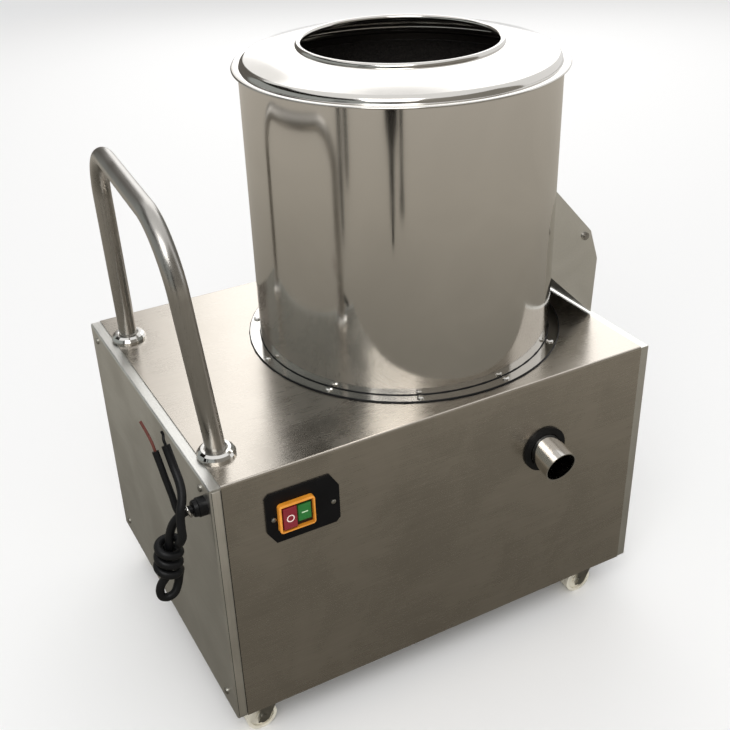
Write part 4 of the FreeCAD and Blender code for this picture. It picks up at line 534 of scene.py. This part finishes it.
# The cord's route, in steps out from, back along and up from the gland's mouth, in millimetres
GLAND_MOUTH = Vector((-299.5, -175, 350))
CORD_DOWN = [(0, 0, 0), (7, 0.3, -0.6), (14, 1.5, -4.5), (20, 3.2, -11.5), (24, 4.4, -20.5)]
HANK_HEAD = Vector((26.5, 5, -31))
HANK_FOOT = Vector((32.5, 7, -73))
CORD_RISE = [(20.2, -6.2, -31.5), (20.3, -12, -26), (18, -14.5, -18.5), (17.3, -12.5, -9.5), (16, -9.5, 0),
             (14, -7.5, 9), (10, -3, 17), (7.2, 4, 24), (6, 12.5, 31), (6.2, 21.5, 39.5), (7, 29, 50.5), (8, 35, 61)]
CORD_LEG = [(12.6, 7.2, -4.2), (13.8, 10.2, 1.6), (14.2, 14.5, 10.5), (15.2, 19.5, 20.5), (16.4, 24.5, 31),
            (17.6, 29.5, 43), (19.2, 36, 57)]
# The wraps' own directions, then the bight's points from their foot: to the left, to the front and down
ACROSS = Vector((-0.885, -0.464, 0))
TOWARDS = Vector((0.464, -0.885, 0))
BIGHT = [(2.5, 0, 9), (6.5, 0, 17), (7.8, 0, 26), (5.2, 0, 34), (-1.5, -2, 36.5), (-7.6, -5, 33), (-9.8, -9.5, 26),
         (-10.4, -12.2, 18), (-11.2, -11.5, 9.5), (-11.8, -6.5, 2.6)]
WRAP_TURNS = 3
WRAP_STEPS = 12
WRAP_PITCH = 12.5
WRAP_RADIUS = 11.2
WRAP_START = 1.5
# Each core's points: how far along the strand's way, and the shift aside
CORE_BENDS = [
    [(6, (0, 0, 0)), (11, (1.5, 0.5, -0.5)), (16, (1, -1, -1))],
    [(9, (0, 0, 0)), (18, (-1, 2.5, 1)), (28, (-3, 6, 3))],
]


def cord_point(step):
    """A step of the route as a point in metres."""
    return (GLAND_MOUTH + Vector((-step[0], step[1], step[2]))) * MM


def wound_points():
    """The strand through the wraps, the bight, then the wraps that climb round the strand."""
    way = (HANK_HEAD - HANK_FOOT).normalized()
    run = [HANK_HEAD.lerp(HANK_FOOT, i / 3) for i in range(4)]
    bight = [HANK_FOOT - ACROSS * left + TOWARDS * front - way * down for left, front, down in BIGHT]
    side = (ACROSS - way * ACROSS.dot(way)).normalized()
    front = (TOWARDS - way * TOWARDS.dot(way)).normalized()
    wraps = []
    for i in range(WRAP_TURNS * WRAP_STEPS + 1):
        angle = FULL_TURN * i / WRAP_STEPS
        around = side * math.cos(angle) + front * math.sin(angle)
        wraps.append(HANK_FOOT + way * (WRAP_START + WRAP_PITCH * i / WRAP_STEPS) + around * WRAP_RADIUS)
    return [tuple(p) for p in run + bight + wraps]


# Operators


# Dark rings at the drum's foot, in the rubber finish: piece, CAD node whose edge it follows, the axis that its width is
# taken along, then how far outside it, height and half thickness, in millimetres
SEALS = (("flange_dark_ring", "drum_flange", "x", 0.1, 0.5, 1.5), ("drum_foot_dark_ring", "drum_shell", "y", 0.3, 2.3, 0.9))
# The start mark's length and thickness
START_MARK = (7.5 * MM, 0.5 * MM)
# The tie ring on the strand that leaves the gland
BAND_PLACE = (4.6, 0.3, -0.4)
BAND_AXIS = Vector((1, 0, 0.3)).normalized()
BAND_RADIUS = 6.6 * MM
BAND_WIRE = 1.6 * MM


class PEELER_OT_cabinet(bpy.types.Operator):
    """Brushed sheet, covers, screws and the frame inside"""

    bl_idname = "peeler.cabinet"
    bl_label = "Cabinet"

    def execute(self, context):
        coat("brushed_sheet", "cabinet_shell")
        coat("brushed_side", "left_cover", "right_cover")
        trim_cover()
        coat("zinc", "panel_screws")
        coat("paint", "base_frame")
        coat("zinc", "base_plate")
        return {"FINISHED"}


class PEELER_OT_castors(bpy.types.Operator):
    """Four swivel castors with nylon wheels"""

    bl_idname = "peeler.castors"
    bl_label = "Castors"

    def execute(self, context):
        corners = ("fl", "fr", "bl", "br")
        coat("zinc", "castor_plates", *["castor_fork_" + corner for corner in corners])
        coat("steel", "castor_bolts")
        coat("nylon", *["castor_wheel_" + corner for corner in corners])
        return {"FINISHED"}


class PEELER_OT_drum(bpy.types.Operator):
    """Polished drum with its flange, liner, lid and bowl"""

    bl_idname = "peeler.drum"
    bl_label = "Drum and lid"

    def execute(self, context):
        coat("mirror", "drum_shell")
        coat("lid_mirror", "drum_flange")
        make_lid()
        low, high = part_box("drum_flange")
        foot = Vector(((low.x + high.x) / 2, (low.y + high.y) / 2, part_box("drum_shell")[0].z))
        for name, node, along, out, up, wire in SEALS:
            low, high = (getattr(corner, along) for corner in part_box(node))
            ring(name, foot + UP * (up * MM), UP, (high - low) / 2 + out * MM, wire * MM, "rubber", "cabinet")
        coat("chrome", "flange_screws")
        coat("grit", "abrasive_liner", "disc_grit")
        coat("brushed_sheet", "water_bowl")
        coat("mirror", "drain_pipe")
        coat("rubber", "drain_grommet")
        return {"FINISHED"}


class PEELER_OT_drive(bpy.types.Operator):
    """Grinding disc, shaft, pulleys, belt and motor"""

    bl_idname = "peeler.drive"
    bl_label = "Drive"

    def execute(self, context):
        coat("iron", "bearing_housing", "driven_pulley", "motor_pulley", "grinding_disc")
        coat("steel", "main_bearings", "main_shaft", "disc_bolt", "motor_rotor", "motor_plate")
        coat("rubber", "shaft_seal", "v_belt")
        coat("alloy", "motor_housing", "motor_end_bells")
        coat("black", "motor_fan_cover", "motor_fan", "capacitor")
        return {"FINISHED"}


class PEELER_OT_handle(bpy.types.Operator):
    """Bent tube handle with its domed collars"""

    bl_idname = "peeler.handle"
    bl_label = "Handle"

    def execute(self, context):
        coat("satin_tube", "handle_tube")
        coat("chrome", "handle_collars")
        coat("zinc", "handle_nuts")
        return {"FINISHED"}


class PEELER_OT_switch(bpy.types.Operator):
    """Switch plate, collar and push buttons with their marks"""

    bl_idname = "peeler.switch"
    bl_label = "Switch"

    def execute(self, context):
        sizes = context.scene.peeler_sizes
        # Dark strips of painted shade in the collar's well
        paint_well_shade()
        coat("black", "switch_plate", "switch_block")
        coat("orange", "switch_collar")
        coat("red", "stop_button")
        coat("green", "start_button")
        coat("steel", "stop_spring", "start_spring")
        faces = []
        for button in ("stop_button", "start_button"):
            low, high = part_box(button)
            faces.append(Vector(((low.x + high.x) / 2, low.y, (low.z + high.z) / 2)))
        ring("stop_mark", faces[0], Vector((0, -1, 0)), sizes.mark_radius, sizes.mark_stroke / 2, "white",
             "stop_button", flat=0.3)
        bar("start_mark", faces[1], (*START_MARK, sizes.mark_stroke * 1.2), "pale_green", "start_button")
        return {"FINISHED"}


class PEELER_OT_chute(bpy.types.Operator):
    """Discharge chute with its hinged door and latch"""

    bl_idname = "peeler.chute"
    bl_label = "Chute"

    def execute(self, context):
        coat("brushed_side", "chute_body", "chute_door")
        coat("steel", "door_hinge_pin", "door_latch")
        return {"FINISHED"}


class PEELER_OT_cord(bpy.types.Operator):
    """Power cord with three wraps round itself, its two legs with bare cores, its tie and its gland"""

    bl_idname = "peeler.cord"
    bl_label = "Cord"

    def execute(self, context):
        sizes = context.scene.peeler_sizes
        coat("rubber", "cable_gland")
        band = ring("tie_band", cord_point(BAND_PLACE), BAND_AXIS, BAND_RADIUS, BAND_WIRE, "chrome", "cabinet")
        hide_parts("cord_tie")
        main = [cord_point(step) for step in CORD_DOWN + wound_points() + CORD_RISE]
        leg = [cord_point(step) for step in CORD_LEG]
        cord = line("cord_sheath", main, sizes.cord_width, "rubber", "cabinet")
        second = line("cord_second_leg", leg, sizes.leg_width, "rubber", "cabinet")
        for name, points, bend, finish in (("cord_core_black", main, CORE_BENDS[0], "rubber"),
                                           ("cord_core_brown", leg, CORE_BENDS[1], "brown")):
            end = points[-1]
            way = (end - points[-2]).normalized()
            route = [end] + [end + way * (reach * MM) + Vector(shift) * MM for reach, shift in bend]
            line(name, route, sizes.core_width, finish, "cabinet")
        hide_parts("power_cord")
        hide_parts("cord_tail")
        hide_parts("cord_cores")
        return {"FINISHED"}


class PEELER_OT_stage(bpy.types.Operator):
    """Pale floor, cards that the steel reflects, soft lamps and the camera"""

    bl_idname = "peeler.stage"
    bl_label = "Stage"

    def execute(self, context):
        make_floor()
        make_lamps()
        make_camera()
        return {"FINISHED"}


def grid(name, size, level, material):
    """A flat square card of the stage at a level."""
    form = bmesh.new()
    bmesh.ops.create_grid(form, x_segments=1, y_segments=1, size=0.5)
    shape = Matrix.Translation((0, 0, level)) @ Matrix.Diagonal((size, size, 1, 1))
    bmesh.ops.transform(form, matrix=shape, verts=form.verts)
    return stage_piece(name, form, material)


def stage_piece(name, form, material):
    """Turns a bmesh into a piece of the stage."""
    mesh = meshed(name, form)
    mesh.materials.append(material)
    card = linked(name, mesh)
    return card


def only_reflected(card):
    """The card shows in reflections alone."""
    card.visible_camera = False
    card.visible_diffuse = False
    card.visible_shadow = False
    card.visible_transmission = False
    card.visible_volume_scatter = False


def glow(name, shade):
    """A material that shines with a plain colour."""
    material = bpy.data.materials.new(name)
    material.use_nodes = True
    tree = material.node_tree
    tree.nodes.clear()
    light = add(tree, "Emission", {"Color": shade, "Strength": 1.0})
    add(tree, "OutputMaterial", Surface=light.outputs["Emission"])
    return material


def painted_ground_reflection():
    """A floor tone that shows only in reflections, a painted reflection: painted shade makes it darkest at the
    machine's foot, and it grows paler farther away.
    """
    material = glow("painted_ground_reflection", (1, 1, 1, 1))
    tree = material.node_tree
    place = add(tree, "TexCoord").outputs["Object"]
    reach = add(tree, "VectorMath", {"operation": "LENGTH"})
    tree.links.new(place, reach.inputs[0])
    scaled = add(tree, "MapRange", {"From Min": 0.2, "From Max": 3.2}, Value=reach.outputs["Value"])
    # Painted shade: the reflected floor is darkest near the machine's foot and paler farther out.
    stops = [(0.0, linear("#66625a")), (0.16, linear("#7c786f")), (0.5, linear("#afa99e")), (1.0, linear("#c4beb4"))]
    feed(tree, tree.nodes["Emission"], Color=toned(tree, scaled.outputs["Result"], *stops))
    return material


WALL_STEPS = 24


def curved_wall(name, radius, foot, height, start, sweep, material):
    """An upright wall round the object, as part of a cylinder."""
    form = bmesh.new()
    first = [form.verts.new((radius * math.cos(start), radius * math.sin(start), z)) for z in (foot, height)]
    edge = form.edges.new(first)
    spin(form, first + [edge], WALL_STEPS, sweep)
    return stage_piece(name, form, material)


FLOOR_SIZE = 30
CARD_SIZE = 8
CARD_LIFT = 0.0006
# Walls round the set, which glow with a plain tone and show only in reflections, a painted reflection of a room:
# radius, foot, height, start and sweep in degrees, colour
WALLS = [
    ("front_wall", 4.1, 0.0, 5.0, -125, 95, "#8f8b84"),
    ("left_wall", 3.6, 0.0, 2.5, 112, 123, "#a5a9a7"),
    ("left_wall_head", 3.6, 2.5, 4.6, 112, 123, "#1d1b19"),
    ("back_wall", 3.6, 0.0, 3.0, 76, 36, "#6b6762"),
]
# Dark stands round the set, seen only in reflections, where they paint dark streaks into the polished steel: direction
# in degrees, distance, then widths up each one, in metres
DARK_STANDS = [
    (199.7, 1.40, [(0, 0.033), (0.12, 0.066), (1.0, 0.075)]),
    (203.8, 1.78, [(0, 0.05), (0.05, 0.084), (1.0, 0.09)]),
    (235.3, 1.40, [(0, 0.025), (0.1, 0.06), (0.24, 0.09), (0.29, 0.2), (1.0, 0.3)]),
    (241.4, 1.60, [(0, 0.08), (0.04, 0.085), (0.08, 0.05), (0.25, 0.06), (1.0, 0.1)]),
]


def make_floor():
    """A plain pale floor, and the grey cards round the set that the steel reflects."""
    pale = surface("pale_floor", {"Base Color": linear("#f6f5f3"), "Roughness": 0.9})[0]
    grid("floor", FLOOR_SIZE, 0, pale)
    # This card glows with the painted floor reflection and shows in reflections alone.
    only_reflected(grid("ground_card", CARD_SIZE, CARD_LIFT, painted_ground_reflection()))
    for name, radius, foot, height, start, sweep, shade in WALLS:
        wall = curved_wall(name, radius, foot, height, math.radians(start), math.radians(sweep),
                           glow(name, linear(shade)))
        only_reflected(wall)
    dark = glow("dark_card", linear("#12100f"))
    for number, (turn, reach, levels) in enumerate(DARK_STANDS):
        form = bmesh.new()
        away = Vector((math.cos(math.radians(turn)), math.sin(math.radians(turn)), 0))
        side = UP.cross(away)
        rows = [[form.verts.new(away * reach + UP * level + side * way * wide / 2) for way in (-1, 1)]
                for level, wide in levels]
        for below, above in zip(rows, rows[1:]):
            form.faces.new((below[0], below[1], above[1], above[0]))
        only_reflected(stage_piece("dark_stand_%d" % number, form, dark))


WORLD_LIGHT = 0.85
LAMP_AIM = Vector((0, 0, 0.4))
# Soft boxes: place, width in metres and power in watts
LAMPS = [("key_box", (-1.2, -1.6, 2.6), 1.6, 34), ("back_box", (1.6, 2.6, 1.9), 2.6, 21)]


def make_lamps():
    """A pale world and two soft boxes."""
    world = bpy.data.worlds.new("studio")
    bpy.context.scene.world = world
    world.use_nodes = True
    tree = world.node_tree
    tree.nodes.clear()
    light = add(tree, "Background", {"Color": (0.93, 0.94, 0.96, 1), "Strength": WORLD_LIGHT})
    white = add(tree, "Background", {"Color": (1, 1, 1, 1), "Strength": 1.0})
    path = add(tree, "LightPath")
    seen = add(tree, "Math", {"operation": "MAXIMUM"})
    tree.links.new(path.outputs["Is Camera Ray"], seen.inputs[0])
    tree.links.new(path.outputs["Is Glossy Ray"], seen.inputs[1])
    both = add(tree, "MixShader")
    tree.links.new(seen.outputs["Value"], both.inputs[0])
    tree.links.new(light.outputs["Background"], both.inputs[1])
    tree.links.new(white.outputs["Background"], both.inputs[2])
    add(tree, "OutputWorld", Surface=both.outputs["Shader"])
    for name, place, size, power in LAMPS:
        lamp = bpy.data.lights.new(name, "AREA")
        lamp.shape = "SQUARE"
        lamp.size = size
        lamp.energy = power
        box = linked(name, lamp)
        box.location = place
        box.rotation_euler = (LAMP_AIM - Vector(place)).to_track_quat("-Z", "Y").to_euler()


CAMERA_PLACE = Vector((-0.5387, -1.0195, 1.01345))
CAMERA_YAW = math.radians(27.688)
CAMERA_PITCH = math.radians(-30.243)
CAMERA_ROLL = math.radians(-1.951)
CAMERA_LENS = 52.22
SENSOR_WIDTH = 36


def make_camera():
    """The photograph's viewpoint."""
    data = bpy.data.cameras.new("camera")
    data.sensor_width = SENSOR_WIDTH
    data.lens = CAMERA_LENS
    forward = Vector((math.sin(CAMERA_YAW) * math.cos(CAMERA_PITCH), math.cos(CAMERA_YAW) * math.cos(CAMERA_PITCH),
                      math.sin(CAMERA_PITCH)))
    right = Vector((math.cos(CAMERA_YAW), -math.sin(CAMERA_YAW), 0))
    up = right.cross(forward)
    across = math.cos(CAMERA_ROLL) * right + math.sin(CAMERA_ROLL) * up
    over = math.cos(CAMERA_ROLL) * up - math.sin(CAMERA_ROLL) * right
    camera = linked("camera", data)
    camera.matrix_world = Matrix.Translation(CAMERA_PLACE) @ Matrix((across, over, -forward)).transposed().to_4x4()
    bpy.context.scene.camera = camera
    bpy.context.scene.view_settings.view_transform = "Standard"


PIECES = (
    PEELER_OT_cabinet,
    PEELER_OT_castors,
    PEELER_OT_drum,
    PEELER_OT_drive,
    PEELER_OT_handle,
    PEELER_OT_switch,
    PEELER_OT_chute,
    PEELER_OT_cord,
    PEELER_OT_stage,
)


class PEELER_PT_panel(bpy.types.Panel):
    """Lists the pieces, sizes and colours"""

    bl_idname = "PEELER_PT_panel"
    bl_label = "Potato Peeler"
    bl_space_type = "VIEW_3D"
    bl_region_type = "UI"
    bl_category = "Peeler"

    def draw(self, context):
        layout = self.layout
        for piece in PIECES:
            layout.operator(piece.bl_idname)
        for group in (context.scene.peeler_sizes, context.scene.peeler_colours):
            column = layout.column()
            for name in group.bl_rna.properties.keys():
                if name not in ("rna_type", "name"):
                    column.prop(group, name)


CLASSES = (PeelerSizes, PeelerColours) + PIECES + (PEELER_PT_panel,)


def register():
    for item in CLASSES:
        bpy.utils.register_class(item)
    bpy.types.Scene.peeler_sizes = bpy.props.PointerProperty(type=PeelerSizes)
    bpy.types.Scene.peeler_colours = bpy.props.PointerProperty(type=PeelerColours)


def unregister():
    del bpy.types.Scene.peeler_colours
    del bpy.types.Scene.peeler_sizes
    for item in reversed(CLASSES):
        bpy.utils.unregister_class(item)


def main():
    register()
    make_finishes(bpy.context.scene)
    for piece in PIECES:
        group, name = piece.bl_idname.split(".")
        getattr(getattr(bpy.ops, group), name)()
    bpy.context.view_layer.update()
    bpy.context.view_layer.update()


if __name__ == "__main__":
    main()
